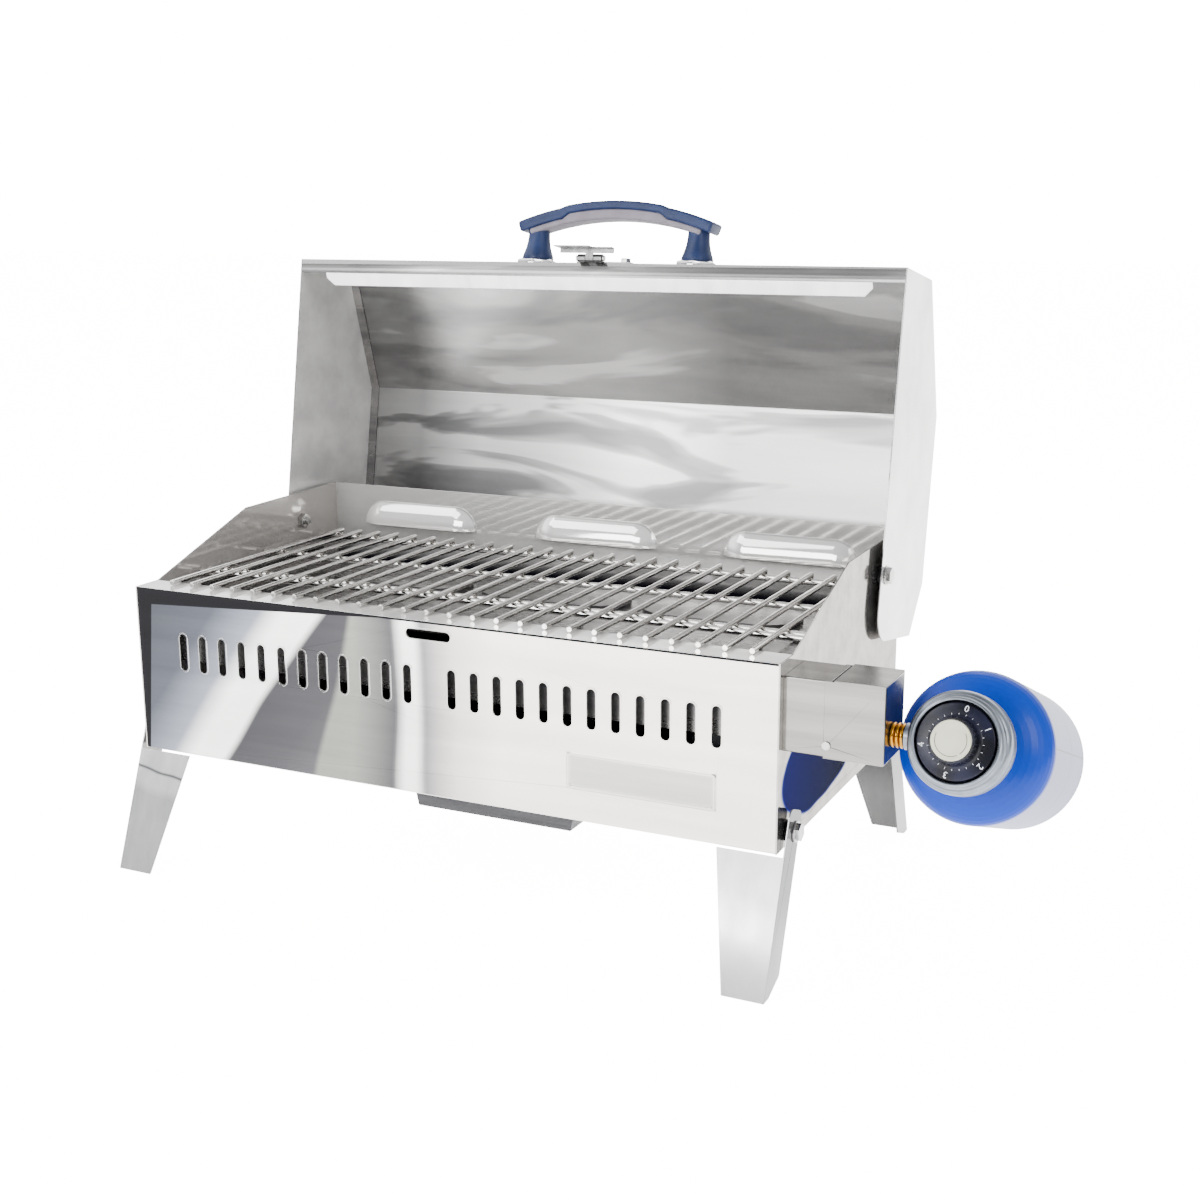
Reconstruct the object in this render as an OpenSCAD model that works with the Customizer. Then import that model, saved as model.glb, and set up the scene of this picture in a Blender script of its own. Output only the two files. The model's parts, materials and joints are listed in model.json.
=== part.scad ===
// Folding table-top gas grill: a stainless firebox on four folding legs, a hinged lid with
// an arched handle and a latch, and a dial regulator that carries a screw-on gas cylinder.
// X runs to the right, Y to the back, Z up, with the lid standing open.

/* [Firebox] */
// Width across the side panels
body_w = 510; // [420:5:620]
// Depth from the front panel to the back panel
body_d = 264; // [240:1:330]
// Height of the front panel
front_h = 126.5; // [120:0.5:160]
// Height of the back panel
back_h = 165; // [150:0.5:200]
// Thickness of the stainless sheet
sheet_t = 1; // [0.8:0.1:1.4]
// Depth of the rim folded in along the front panel's top
rim_d = 24; // [18:1:30]
// Level length of a side panel's top before it slopes up
side_level = 25; // [10:1:40]
// Distance from the front to the knee at the top of the side panel's slope
side_knee = 136; // [100:1:160]
// Radius of the grease drain hole in the bottom
drain_r = 12; // [6:0.5:20]

/* [Vents] */
// Number of upright vents on each side of the middle
vent_count = 12; // [6:1:13]
// Spacing of the upright vents
vent_pitch = 17.75; // [15:0.25:19]
// Width of an upright vent
vent_w = 6.6; // [5:0.1:8]
// Height of an upright vent
vent_h = 28; // [20:0.5:34]
// Height of the vents' middle above the bottom
vent_z = 80; // [60:0.5:90]
// Height of the raised lip round each opening
lip_h = 0.5; // [0.3:0.1:0.8]
// Width of the latch slot
slot_w = 35.5; // [30:0.5:45]
// Height of the latch slot
slot_h = 7; // [6:0.5:9]
// Distance of the latch slot's middle below the rim
slot_drop = 9.7; // [8:0.1:14]

/* [Plaque and hoods] */
// Width of the blank raised plaque
plaque_w = 107; // [80:1:130]
// Height of the plaque
plaque_h = 25; // [15:1:30]
// Distance from the plaque to the right side panel
plaque_inset = 42; // [20:1:60]
// Height of the plaque's lower edge above the bottom
plaque_z = 23; // [10:1:30]
// Number of pressed air hoods across the back panel
hood_count = 3; // [1:1:3]
// Length of a pressed air hood
hood_w = 112; // [80:1:120]
// Height of a pressed air hood
hood_h = 20; // [12:0.5:24]
// How far a hood stands in from the back panel
hood_d = 8; // [5:0.5:10]
// Spacing of the air hoods
hood_pitch = 168; // [130:1:190]
// Height of the hoods' open lower edge above the bottom
hood_z = 132; // [128:0.5:140]

/* [Lid] */
// How far the lid's front stands ahead of the firebox
lid_overhang = 9.5; // [8:0.5:14]
// Gap between the closed lid and the firebox rim
lid_gap = 1.5; // [1:0.1:3]
// Height of the lid's front panel
lid_front_h = 70; // [50:1:90]
// Depth of the lid's sloping front facet
lid_slope_run = 98.5; // [80:0.5:115]
// Rise of the lid's sloping front facet
lid_slope_rise = 48; // [35:0.5:60]
// Depth of the lid's back facet
lid_back_run = 39.5; // [30:0.5:50]
// Drop of the lid's back facet
lid_back_drop = 26.5; // [20:0.5:32]
// Height of the skirt below the lid's back facet
lid_skirt = 12; // [8:0.5:14]
// Distance from the lid's back to the firebox's back
lid_back_inset = 5; // [4:0.5:8]
// Depth of the flange folded in along the lid's front edge
lid_flange_d = 11; // [9:0.5:12]
// Depth of the stiffening lip beyond that flange
lip_d = 11; // [8:0.5:12]
// Angle at which the lip is bent up
lip_angle = 28; // [20:1:40]
// Width of the end caps' welding flanges
cap_flange_w = 8; // [6:0.5:12]
// Radius of the end caps' lower back corner
cap_corner_r = 24; // [15:1:28]
// Angle between the closed lid and the open lid
lid_open_angle = 100; // [90:1:102]

/* [Hinges and bolts] */
// Distance from the lid hinge to the back panel
hinge_inset = 54; // [50:0.5:58]
// Height of the lid hinge above the firebox rim
hinge_rise = 13.6; // [12:0.1:18]
// Length of the spacers between side panels and moving plates
spacer_l = 4; // [3:0.1:6]
// Radius of the bolts
bolt_r = 3; // [2.5:0.1:4]
// Radius of the bolt heads, washers and nuts
head_r = 6.2; // [5:0.1:7]
// Radial running clearance round the bolts and pins
run_fit = 0.05; // [0.02:0.01:0.08]
// Side play between pieces that move past each other
play = 0.3; // [0.3:0.05:0.6]

/* [Legs] */
// Distance from the panel corner to a leg's bolt, across the panel
leg_pivot_y = 20; // [18:0.5:26]
// Height of the leg bolts above the bottom
leg_pivot_z = 10; // [9:0.5:14]
// Angle at which a leg splays outwards
leg_splay = 21; // [15:0.5:25]
// Height of the firebox bottom above the ground
leg_drop = 87.2; // [75:0.1:88]
// Width of a leg's face at the top
leg_top_w = 46.5; // [38:0.5:60]
// Width of a leg's face at the foot
leg_foot_w = 29; // [20:0.5:36]
// Width of a leg's side flange behind its bolt
leg_flange_back = 9; // [8:0.5:12]
// Length of the chamfer at the foot of the side flange
leg_chamfer = 17; // [8:0.5:20]

/* [Grate] */
// Number of rods
rod_count = 26; // [16:1:26]
// Spacing of the rods
rod_pitch = 18.5; // [15:0.25:19]
// Radius of the rods
rod_r = 2; // [1.5:0.1:2.5]
// Radius of the cross rods
cross_r = 2.5; // [2:0.1:3]
// Distance from the firebox front to the rods' front ends
rod_front = 13; // [13:0.5:16]
// Distance from the rods' back ends to the back panel
rod_back = 25; // [20:0.5:30]
// How far the rods' back ends are turned down
rod_turn = 7; // [5:0.5:9]
// Gap between the grate's ends and the side panels
grate_side_gap = 4; // [3:0.5:8]

/* [Burner] */
// Height of the radiant plate above the bottom
plate_z = 100; // [98:0.5:104]
// Distance from the front panel to the radiant plate
plate_front = 62; // [50:1:70]
// Height of the radiant plate's pressed pads
pad_h = 5; // [3:0.5:6]
// Radius of the burner tube
burner_r = 11; // [9:0.5:12]
// Distance from the front to the middle of the main burner tube
burner_y = 140; // [120:1:160]
// Number of cross-drilled gas ports
port_count = 16; // [8:1:20]
// Radius of a gas port
port_r = 1.2; // [0.8:0.1:1.5]
// Radius of the venturi's mouth
venturi_r = 14; // [13:0.5:15]

/* [Tunnel] */
// Distance from the front to the middle of the gas inlet
inlet_y = 22; // [20:0.5:26]
// Height of the gas inlet above the bottom
inlet_z = 83.5; // [80:0.5:88]
// Length of the inlet tunnel out of the right side panel
tunnel_l = 66; // [50:1:70]
// Length of the inner tunnel housing
housing_l = 31; // [20:1:35]
// Depth of the tunnel
tunnel_d = 42.4; // [38:0.2:50]
// Height of the tunnel
tunnel_h = 51.5; // [44:0.5:60]
// Distance from the front to the tunnel's front face
tunnel_y = 5.6; // [4:0.2:8]
// Height of the tunnel's floor above the bottom
tunnel_z = 66.8; // [60:0.2:68]
// Width of the air gap across the tunnel's top
air_gap = 6; // [4:0.5:8]

/* [Regulator] */
// Distance from the tunnel's end to the regulator's middle
reg_reach = 44; // [43:0.5:60]
// Angle at which the regulator and the cylinder point down at the back
reg_tilt = 20.5; // [10:0.5:30]
// Radius of the regulator's rim
reg_r = 32.2; // [28:0.2:34]
// Radius of the brass fitting's ridges
fitting_r = 8; // [6:0.2:9]
// Radius of the brass spigot that the regulator turns on
spigot_r = 5; // [4:0.1:5.5]
// Radius of the control dial
dial_r = 23.9; // [20:0.1:25]
// Radius of the dial's grip
grip_r = 14; // [11:0.5:16]
// Height of the dial's grip
grip_h = 12; // [8:0.5:14]
// Radius of the pale disc on the grip
disc_r = 12.3; // [9:0.1:13]
// Radius of the control spindle
spindle_r = 3; // [2:0.1:4]
// How far the dial can be pushed in
push_l = 2; // [1:0.1:2.5]

/* [Gas cylinder] */
// Radius of the gas cylinder
tank_r = 49.2; // [40:0.1:52]
// Length of the gas cylinder behind the regulator's middle
tank_l = 162; // [130:1:175]
// Length of the cylinder's domed shoulder
dome_l = 20; // [16:0.5:24]
// Radius of the threaded neck
neck_r = 12.7; // [11:0.1:13]
// Thickness of the cylinder's wall
tank_wall = 1.2; // [1:0.1:2]
// Thickness of the pale sleeve round the cylinder
sleeve_t = 0.5; // [0.3:0.1:1]

/* [Handle] */
// Distance from the lid's middle to the handle's middle
handle_x = 22; // [-30:1:40]
// Height of the handle above the lid's front edge
handle_rise = 20; // [19:0.5:40]
// Spacing of the handle's posts
post_pitch = 137; // [110:1:150]
// Length of the handle
handle_l = 168; // [145:1:190]
// Height of the handle's ends above the lid
handle_end_h = 34; // [30:0.5:40]
// Height of the handle's crown above the lid
handle_crown_h = 49.5; // [45:0.5:55]
// Thickness of the handle
handle_t = 14; // [12:0.5:18]
// Width of the handle
handle_w = 22; // [16:0.5:26]
// Radius of a post at its foot
post_foot_r = 12.5; // [11:0.5:14]
// Radius of a post at its waist
post_waist_r = 8.6; // [7:0.2:10]
// Radius of the hexagonal bases, across their corners
hex_r = 17.5; // [16:0.5:18]
// Height of the hexagonal bases
hex_h = 4.5; // [3:0.5:6]

/* [Latch] */
// Left end of the latch barrel
barrel_x = 1; // [-10:0.5:5]
// Length of the latch barrel
barrel_l = 20.5; // [16:0.5:26]
// Radius of the latch barrel
barrel_r = 3.2; // [2.8:0.1:3.4]
// Radius of the latch pin
pin_r = 1.5; // [1.2:0.1:1.8]
// Distance of the latch pin below the lid's edge
pin_drop = 2.5; // [2:0.1:3]
// Width of the latch tongue
tongue_w = 30; // [20:0.5:31]
// How far the tongue reaches behind the firebox front
tongue_reach = 2.2; // [1.5:0.1:2.5]
// Width of the finger tab beside the tongue
tab_w = 16; // [10:0.5:20]
// Width of the latch leaf
leaf_w = 46; // [40:0.5:60]
// Height of the latch leaf above the lid's edge
leaf_h = 15; // [13:0.5:18]

/* [Grease tray] */
// Width of the tray at its top
tray_w = 148; // [120:1:170]
// Length of the tray
tray_l = 96; // [70:1:120]
// Depth of the tray
tray_h = 40; // [20:1:44]
// How much each side of the tray slopes in
tray_slope = 9; // [5:0.5:12]
// Width of the tray's side flanges
tray_flange = 7; // [5:0.5:10]

/* [Hidden] */
$fn = 48;
eps = 0.01;
steel = "gainsboro";

// Driving positions, all from the bottom corner at the middle of the front panel
side_in = body_w / 2 - sheet_t;
arm_in = body_w / 2 + spacer_l + play;
arm_out = arm_in + sheet_t;
head_h = 4;
nut_h = 5;
washer_r = head_r + 0.8;
knee_drop = 1.3;
knee_z = back_h - knee_drop;
hinge_y = body_d - hinge_inset;
hinge_z = front_h + hinge_rise;
lid_rim = front_h + lid_gap;
tunnel_x = body_w / 2 + tunnel_l;
reg_x = tunnel_x + reg_reach;

// Points (y, z) of the closed lid's bent sheet, from its front edge to its back skirt
lid_back = body_d - lid_back_inset;
lid_top = lid_rim + lid_front_h + lid_slope_rise;
lid_points = [
    [-lid_overhang, lid_rim],
    [-lid_overhang, lid_rim + lid_front_h],
    [-lid_overhang + lid_slope_run, lid_top],
    [lid_back - lid_back_run, lid_top],
    [lid_back, lid_top - lid_back_drop],
    [lid_back, lid_top - lid_back_drop - lid_skirt]];

// The open lid's crease behind and the handle above set the outer box
function turned(p, a) = [p[0] * cos(a) - p[1] * sin(a), p[0] * sin(a) + p[1] * cos(a)];
crease_open = turned(lid_points[2] - [hinge_y, hinge_z], -lid_open_angle) + [hinge_y, hinge_z];
foot_y = leg_drop * tan(leg_splay);
x_low = -(arm_out + play + head_h);
x_high = reg_x + tank_r;
centre_x = (x_low + x_high) / 2;
centre_y = (crease_open[0] - foot_y) / 2;

// ---- shared shapes ----
function unit(v) = v / norm(v);
function left_of(a, b) = let (d = unit(b - a)) [-d[1], d[0]];
function mitre(p, i, t) =
    let (n = len(p),
        before = i > 0 ? left_of(p[i - 1], p[i]) : left_of(p[0], p[1]),
        after = i < n - 1 ? left_of(p[i], p[i + 1]) : left_of(p[n - 2], p[n - 1]),
        m = unit(before + after))
    p[i] + m * t / (m * before);
function sheet_outline(p, t) = concat(p, [for (i = [len(p) - 1:-1:0]) mitre(p, i, t)]);

// Puts the origin under the middle of the outer box, on the ground
module placed() translate([-centre_x, -centre_y, leg_drop]) children();

// Swings a piece drawn on the closed lid to the open lid
module on_lid()
    placed() translate([0, hinge_y, hinge_z]) rotate([-lid_open_angle, 0, 0])
        translate([0, -hinge_y, -hinge_z]) children();

// Extrudes a (y, z) outline from x0 to x1
module across(x0, x1) translate([x0, 0, 0]) rotate([90, 0, 90]) linear_extrude(x1 - x0) children();

// Extrudes an (x, z) outline from y0 to y1
module deep(y0, y1) translate([0, y1, 0]) rotate([90, 0, 0]) linear_extrude(y1 - y0) children();

// A round bar along X
module bar_x(x0, x1, r) translate([x0, 0, 0]) rotate([0, 90, 0]) cylinder(h = x1 - x0, r = r);

module both_sides() {
    children();
    mirror([1, 0, 0]) children();
}

module slot_shape(w, h) {
    r = min(w, h) / 2;
    square([w > h ? w - 2 * r : w, w > h ? h : h - 2 * r], center = true);
    if (w > h) for (s = [-1, 1]) translate([s * (w / 2 - r), 0]) circle(r);
    else for (s = [-1, 1]) translate([0, s * (h / 2 - r)]) circle(r);
}

module round_box(w, h, r) {
    square([w - 2 * r, h], center = true);
    square([w, h - 2 * r], center = true);
    for (sx = [-1, 1], sy = [-1, 1]) translate([sx * (w / 2 - r), sy * (h / 2 - r)]) circle(r);
}

// ---- firebox ----
vent_xs = [for (i = [1:vent_count], s = [-1, 1]) s * i * vent_pitch];
latch_slot_z = front_h - slot_drop;
lip_w = 1;

module vent_outlines(grow) {
    for (x = vent_xs) translate([x, vent_z]) slot_shape(vent_w + 2 * grow, vent_h + 2 * grow);
    translate([0, latch_slot_z]) slot_shape(slot_w + 2 * grow, slot_h + 2 * grow);
}

module plaque() {
    plaque_r = 3;
    border = 2;
    translate([body_w / 2 - plaque_inset - plaque_w / 2, 0, plaque_z + plaque_h / 2]) {
        deep(-0.6, 0) round_box(plaque_w, plaque_h, plaque_r);
        deep(-1.2, -0.6) difference() {
            round_box(plaque_w, plaque_h, plaque_r);
            round_box(plaque_w - 2 * border, plaque_h - 2 * border, plaque_r - 1);
        }
    }
}

// A pressed hood: the upper half of a shallow round-ended bulge, open along its lower edge
module hood_solid(shrink) {
    back = (hood_h * hood_h - hood_d * hood_d) / (2 * hood_d);
    r = back + hood_d - shrink;
    ends = hood_w / 2 - hood_h;
    translate([0, body_d - sheet_t + back, hood_z]) {
        bar_x(-ends, ends, r);
        for (s = [-1, 1]) translate([s * ends, 0, 0]) sphere(r);
    }
}

module hoods(shrink, y1) {
    for (i = [0:hood_count - 1])
        translate([(i - (hood_count - 1) / 2) * hood_pitch, 0, 0])
            intersection() {
                hood_solid(shrink);
                translate([-hood_w, body_d - hood_d - 5, hood_z])
                    cube([2 * hood_w, y1 - body_d + hood_d + 5, hood_h + 5]);
            }
}

module firebox_shell() color(steel) placed() {
    outline = [[rim_d, front_h], [0, front_h], [0, 0], [body_d, 0], [body_d, back_h]];
    difference() {
        union() {
            difference() {
                union() {
                    across(-side_in, side_in) polygon(sheet_outline(outline, sheet_t));
                    deep(-lip_h, 0) vent_outlines(lip_w);
                    hoods(0, body_d - sheet_t);
                }
                deep(-1, sheet_t + 1) vent_outlines(0);
            }
            plaque();
        }
        hoods(sheet_t, body_d + 1);
        translate([0, body_d / 2, -1]) cylinder(h = sheet_t + 2, r = drain_r);
    }
}

module side_outline()
    polygon([[0, 0], [body_d, 0], [body_d, back_h], [side_knee, knee_z],
        [side_level, front_h], [0, front_h]]);

module side_panel_left() color(steel) placed() difference() {
    across(-body_w / 2, -side_in) side_outline();
    translate([0, hinge_y, hinge_z]) bar_x(-body_w / 2 - 1, -side_in + 1, bolt_r);
    for (y = [leg_pivot_y, body_d - leg_pivot_y])
        translate([0, y, leg_pivot_z]) bar_x(-body_w / 2 - 1, -side_in + 1, bolt_r);
}

module side_panel_right() color(steel) placed() difference() {
    across(side_in, body_w / 2) side_outline();
    translate([0, hinge_y, hinge_z]) bar_x(side_in - 1, body_w / 2 + 1, bolt_r);
    for (y = [leg_pivot_y, body_d - leg_pivot_y])
        translate([0, y, leg_pivot_z]) bar_x(side_in - 1, body_w / 2 + 1, bolt_r);
    translate([0, inlet_y, inlet_z]) bar_x(side_in - 1, body_w / 2 + 1, burner_r);
}

// Heights of what lies on the rim: rods over cross rods over ledges
rod_z = front_h + rod_r + play;
cross_z = rod_z - rod_r - cross_r;
grate_ledge_z = front_h - 2 * cross_r;
ledge_w = 16;
ledge_lip = 10;

module ledge(top, y0, y1)
    translate([side_in, 0, top])
        across(-ledge_w, 0) translate([y0, -sheet_t]) square([y1 - y0, sheet_t]);

module ledge_web(top, y0, y1)
    translate([side_in - sheet_t, y0, top - sheet_t - ledge_lip])
        cube([sheet_t, y1 - y0, ledge_lip]);

module support_ledges() color(steel) placed() both_sides() {
    ledge(grate_ledge_z, rim_d + 12, body_d - rod_back);
    ledge_web(grate_ledge_z, rim_d + 12, body_d - rod_back);
    ledge(plate_z, plate_front, body_d - rod_back);
    ledge_web(plate_z, plate_front, body_d - rod_back);
}

// A hanging shield behind the vents
baffle_y = 7;
module front_baffle() color("silver") placed()
    across(-side_in + 18, side_in - 18)
        polygon(sheet_outline([[sheet_t, front_h - sheet_t - 14], [baffle_y, front_h - sheet_t - 22],
            [baffle_y, vent_z - 8]], sheet_t));

module radiant_plate() color("silver") placed() {
    half = side_in - ledge_w + 12;
    plate_d = body_d - rod_back - 4 - plate_front;
    pad_w = hood_w + 14;
    pad_d = 56;
    translate([0, plate_front + plate_d / 2, plate_z]) difference() {
        union() {
            translate([-half, -plate_d / 2, 0]) cube([2 * half, plate_d, sheet_t]);
            for (x = [-1, 0, 1], y = [-1, 1])
                translate([x * (pad_w + 14), y * plate_d / 4, 0]) linear_extrude(pad_h)
                    slot_shape(pad_w, pad_d);
        }
        for (x = [-1, 0, 1], y = [-1, 1])
            translate([x * (pad_w + 14), y * plate_d / 4, -1]) linear_extrude(pad_h + 1 - sheet_t)
                slot_shape(pad_w - 2 * sheet_t, pad_d - 2 * sheet_t);
    }
}

// ---- burner and gas inlet ----
burner_end = side_in - 40;
mouth_x = body_w / 2 + tunnel_l - 30;

module burner_path(r, extra) {
    translate([0, inlet_y, inlet_z]) bar_x(burner_end, mouth_x + extra, r);
    translate([burner_end, inlet_y, inlet_z]) sphere(r);
    translate([burner_end, burner_y, inlet_z]) rotate([90, 0, 0])
        cylinder(h = burner_y - inlet_y, r = r);
    translate([burner_end, burner_y, inlet_z]) sphere(r);
    translate([0, burner_y, inlet_z]) bar_x(-burner_end, burner_end, r);
    translate([-burner_end, burner_y, inlet_z]) sphere(r);
}

module burner_tube() color("lightgray") placed() difference() {
    burner_path(burner_r, 0);
    burner_path(burner_r - sheet_t, 1);
    port_pitch = 2 * (burner_end - 30) / port_count;
    for (i = [0:port_count - 1])
        translate([(i - (port_count - 1) / 2) * port_pitch, burner_y, inlet_z])
            rotate([90, 0, 0]) cylinder(h = 4 * burner_r, r = port_r, center = true);
}

// Two upright plates that hold the main tube above the bottom
bracket_w = 34;
module burner_bracket() color("silver") placed() both_sides()
    translate([burner_end * 0.6, burner_y, 0]) difference() {
        union() {
            translate([0, -bracket_w / 2, sheet_t]) cube([sheet_t, bracket_w, inlet_z + burner_r + 2]);
            translate([0, -bracket_w / 2, sheet_t]) cube([12, bracket_w, sheet_t]);
        }
        translate([0, 0, inlet_z]) bar_x(-1, sheet_t + 1, burner_r);
    }

module venturi_mouth() color("silver") placed() translate([0, inlet_y, inlet_z])
    difference() {
        bar_x(mouth_x - 12, mouth_x, venturi_r);
        bar_x(mouth_x - 13, mouth_x + 1, burner_r);
    }

// How far the cover laps over the housing, and the screws through both
cover_lap = 4;
screw_r = 1.6;
screw_head_r = 2.8;
screw_head_h = 1.2;

module tunnel_tube(x0, x1, grow) {
    w = tunnel_d + 2 * grow;
    h = tunnel_h + 2 * grow;
    translate([x0, tunnel_y - grow, tunnel_z - grow]) difference() {
        cube([x1 - x0, w, h]);
        translate([-1, sheet_t, sheet_t]) cube([x1 - x0 + 2, w - 2 * sheet_t, h - 2 * sheet_t]);
    }
}

cover_x = body_w / 2 + housing_l - cover_lap;
screw_x = cover_x + cover_lap / 2;
screw_z = tunnel_z + 9;

module screw_holes()
    translate([screw_x, 0, screw_z]) deep(tunnel_y - 1, tunnel_y + tunnel_d + 1) circle(screw_r);

module tunnel_housing() color(steel) placed() difference() {
    tunnel_tube(body_w / 2, body_w / 2 + housing_l, -sheet_t);
    screw_holes();
}

module tunnel_cover() color(steel) placed() difference() {
    union() {
        tunnel_tube(cover_x, tunnel_x - sheet_t, 0);
        translate([tunnel_x - sheet_t, tunnel_y, tunnel_z]) cube([sheet_t, tunnel_d, tunnel_h]);
    }
    translate([cover_x - 1, tunnel_y - 1, tunnel_z + tunnel_h - sheet_t - eps])
        cube([air_gap + 1, tunnel_d + 2, sheet_t + 1]);
    translate([0, inlet_y, inlet_z]) bar_x(tunnel_x - 2, tunnel_x + 1, spigot_r);
    screw_holes();
}

module tunnel_screws() color("silver") placed() translate([screw_x, tunnel_y, screw_z])
    for (back = [0, 1]) translate([0, back * tunnel_d, 0]) mirror([0, back, 0]) {
        deep(-screw_head_h, 0) circle(screw_head_r);
        deep(0, cover_lap) circle(screw_r);
    }

// The brass fitting, its ridges outside and its jet inside the tunnel
fitting_l = 9;
ridge = fitting_l / 3;
spigot_l = 8;
module gas_fitting() color("goldenrod") placed() translate([tunnel_x, inlet_y, inlet_z])
    rotate([0, 90, 0]) difference() {
        union() {
            translate([0, 0, -22]) cylinder(h = 22 + fitting_l + spigot_l, r = spigot_r);
            translate([0, 0, -22]) cylinder(h = 6, r = spigot_r + 2.4, $fn = 6);
            rotate_extrude() for (i = [0:2])
                translate([0, i * ridge]) {
                    square([fitting_r - ridge / 2, ridge]);
                    translate([fitting_r - ridge / 2, ridge / 2]) circle(ridge / 2);
                }
        }
        translate([0, 0, -23]) cylinder(h = 60, r = 1.5);
    }

// ---- grease tray ----
rail_x = tray_w / 2 + tray_flange + play + sheet_t;
rail_h = 7;
tray_y = (body_d - tray_l) / 2;
tray_top = -rail_h + sheet_t + play;
module tray_rails() color(steel) placed() both_sides() deep(tray_y - 10, body_d - tray_y + 10) {
    translate([rail_x - sheet_t, -sheet_t]) square([9, sheet_t]);
    translate([rail_x - sheet_t, -rail_h]) square([sheet_t, rail_h]);
    translate([rail_x - tray_flange + 1, -rail_h]) square([tray_flange - 1, sheet_t]);
}

module grease_tray() color("darkgray") placed() {
    half = tray_w / 2;
    foot = half - tray_slope;
    bottom = tray_top - tray_h;
    profile = [[-half - tray_flange, tray_top], [-half, tray_top],
        [-foot, bottom], [foot, bottom], [half, tray_top], [half + tray_flange, tray_top]];
    deep(tray_y, tray_y + tray_l) polygon(sheet_outline(profile, sheet_t));
    for (y = [tray_y, tray_y + tray_l - sheet_t])
        deep(y, y + sheet_t)
            polygon([[-half, tray_top], [-foot, bottom], [foot, bottom], [half, tray_top]]);
}

// ---- bolts ----
module hex_head(x, h) translate([x, 0, 0]) rotate([0, 90, 0]) cylinder(h = h, r = head_r, $fn = 6);

module bolt_body() {
    bar_x(side_in - nut_h - 3, arm_out + play + head_h / 2, bolt_r);
    translate([arm_out + play, 0, 0]) rotate([0, 90, 0]) cylinder(h = 1, r = washer_r);
    hex_head(arm_out + play + 1, head_h - 1);
}

module spacer_body() difference() {
    bar_x(body_w / 2, body_w / 2 + spacer_l, washer_r);
    bar_x(body_w / 2 - 1, body_w / 2 + spacer_l + 1, bolt_r);
}

module nut_body() difference() {
    hex_head(side_in - nut_h, nut_h);
    bar_x(side_in - nut_h - 1, side_in + 1, bolt_r);
}

module at_hinges() both_sides() translate([0, hinge_y, hinge_z]) children();
module at_legs() both_sides() for (y = [leg_pivot_y, body_d - leg_pivot_y])
    translate([0, y, leg_pivot_z]) children();

module hinge_bolts() color("silver") placed() at_hinges() bolt_body();
module hinge_spacers() color("dimgray") placed() at_hinges() spacer_body();
module hinge_nuts() color("silver") placed() at_hinges() nut_body();
module leg_bolts() color("silver") placed() at_legs() bolt_body();
module leg_spacers() color("dimgray") placed() at_legs() spacer_body();
module leg_nuts() color("silver") placed() at_legs() nut_body();

// ---- lid ----
module lid_shell() color(steel) on_lid() difference() {
    across(-arm_in, arm_in)
        polygon(sheet_outline(
            concat([[-lid_overhang + lid_flange_d, lid_rim]], lid_points), -sheet_t));
    for (s = [-1, 1]) translate([handle_x + s * post_pitch / 2, 0, lid_rim + handle_rise])
        deep(-lid_overhang - 1, -lid_overhang + sheet_t + 1) circle(screw_post_r);
    translate([latch_bolt_x, 0, latch_bolt_z])
        deep(-lid_overhang - 1, -lid_overhang + sheet_t + 1) circle(latch_bolt_r);
}

module cap_outline() {
    r = cap_corner_r;
    difference() {
        polygon([lid_points[0], lid_points[1], lid_points[2], lid_points[3], lid_points[4],
            [lid_back, lid_rim]]);
        translate([lid_back - r, lid_rim - eps]) difference() {
            square([r + 1, r + eps]);
            translate([0, r + eps]) circle(r);
        }
    }
}

module lid_cap(side) on_lid() difference() {
    across(side > 0 ? arm_in : -arm_out, side > 0 ? arm_out : -arm_in) cap_outline();
    translate([side * (arm_in + arm_out) / 2, hinge_y, hinge_z]) bar_x(-2, 2, bolt_r + run_fit);
}

module lid_cap_left() color(steel) lid_cap(-1);
module lid_cap_right() color(steel) lid_cap(1);

// The end caps' flanges, spot welded under the bent sheet
flange_line = [lid_points[0] + [0, 4], lid_points[1], lid_points[2], lid_points[3],
    lid_points[4] - [0, 2]];
module lid_corner_flanges() color("silver") on_lid() both_sides()
    across(arm_in - cap_flange_w, arm_in)
        polygon(sheet_outline([for (i = [0:4]) mitre(flange_line, i, -sheet_t)], -sheet_t));

// The stiffening lip, lying on the flange and bent up beyond it, its inner corners cut off
lip_half = arm_in - 24;
lip_start = [-lid_overhang + lid_flange_d, lid_rim + sheet_t];
lip_end = lip_start + lip_d * [cos(lip_angle), sin(lip_angle)];
module lid_lip() color(steel) on_lid() difference() {
    across(-lip_half, lip_half)
        polygon(sheet_outline([lip_start - [lid_flange_d - 4, 0], lip_start, lip_end], sheet_t));
    for (s = [-1, 1]) translate([s * lip_half, lip_end[0], lip_end[1]])
        rotate([lip_angle, 0, 0]) rotate([0, 0, 45]) cube([9, 9, 20], center = true);
}

// ---- handle, drawn on the closed lid and standing forward from its front panel ----
screw_post_r = 2.5;
handle_sag = handle_crown_h - handle_end_h;
handle_arc = (handle_l * handle_l / 4 + handle_sag * handle_sag) / (2 * handle_sag);
insert_half = 46;
insert_t = 7;

module on_handle()
    on_lid() translate([handle_x, -lid_overhang, lid_rim + handle_rise]) children();

// Outline (x, height) of a band of the arch between two depths below its top
module arch_band(d0, d1, half)
    intersection() {
        difference() {
            translate([0, handle_crown_h - handle_arc]) circle(handle_arc - d0, $fn = 120);
            translate([0, handle_crown_h - handle_arc]) circle(handle_arc - d1, $fn = 120);
        }
        translate([-half, 0]) square([2 * half, handle_crown_h + 5]);
    }

// Extrudes an (x, height) outline along the lid's front edge
module from_panel(w) translate([0, 0, w / 2]) rotate([180, 0, 0]) linear_extrude(w) children();

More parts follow.
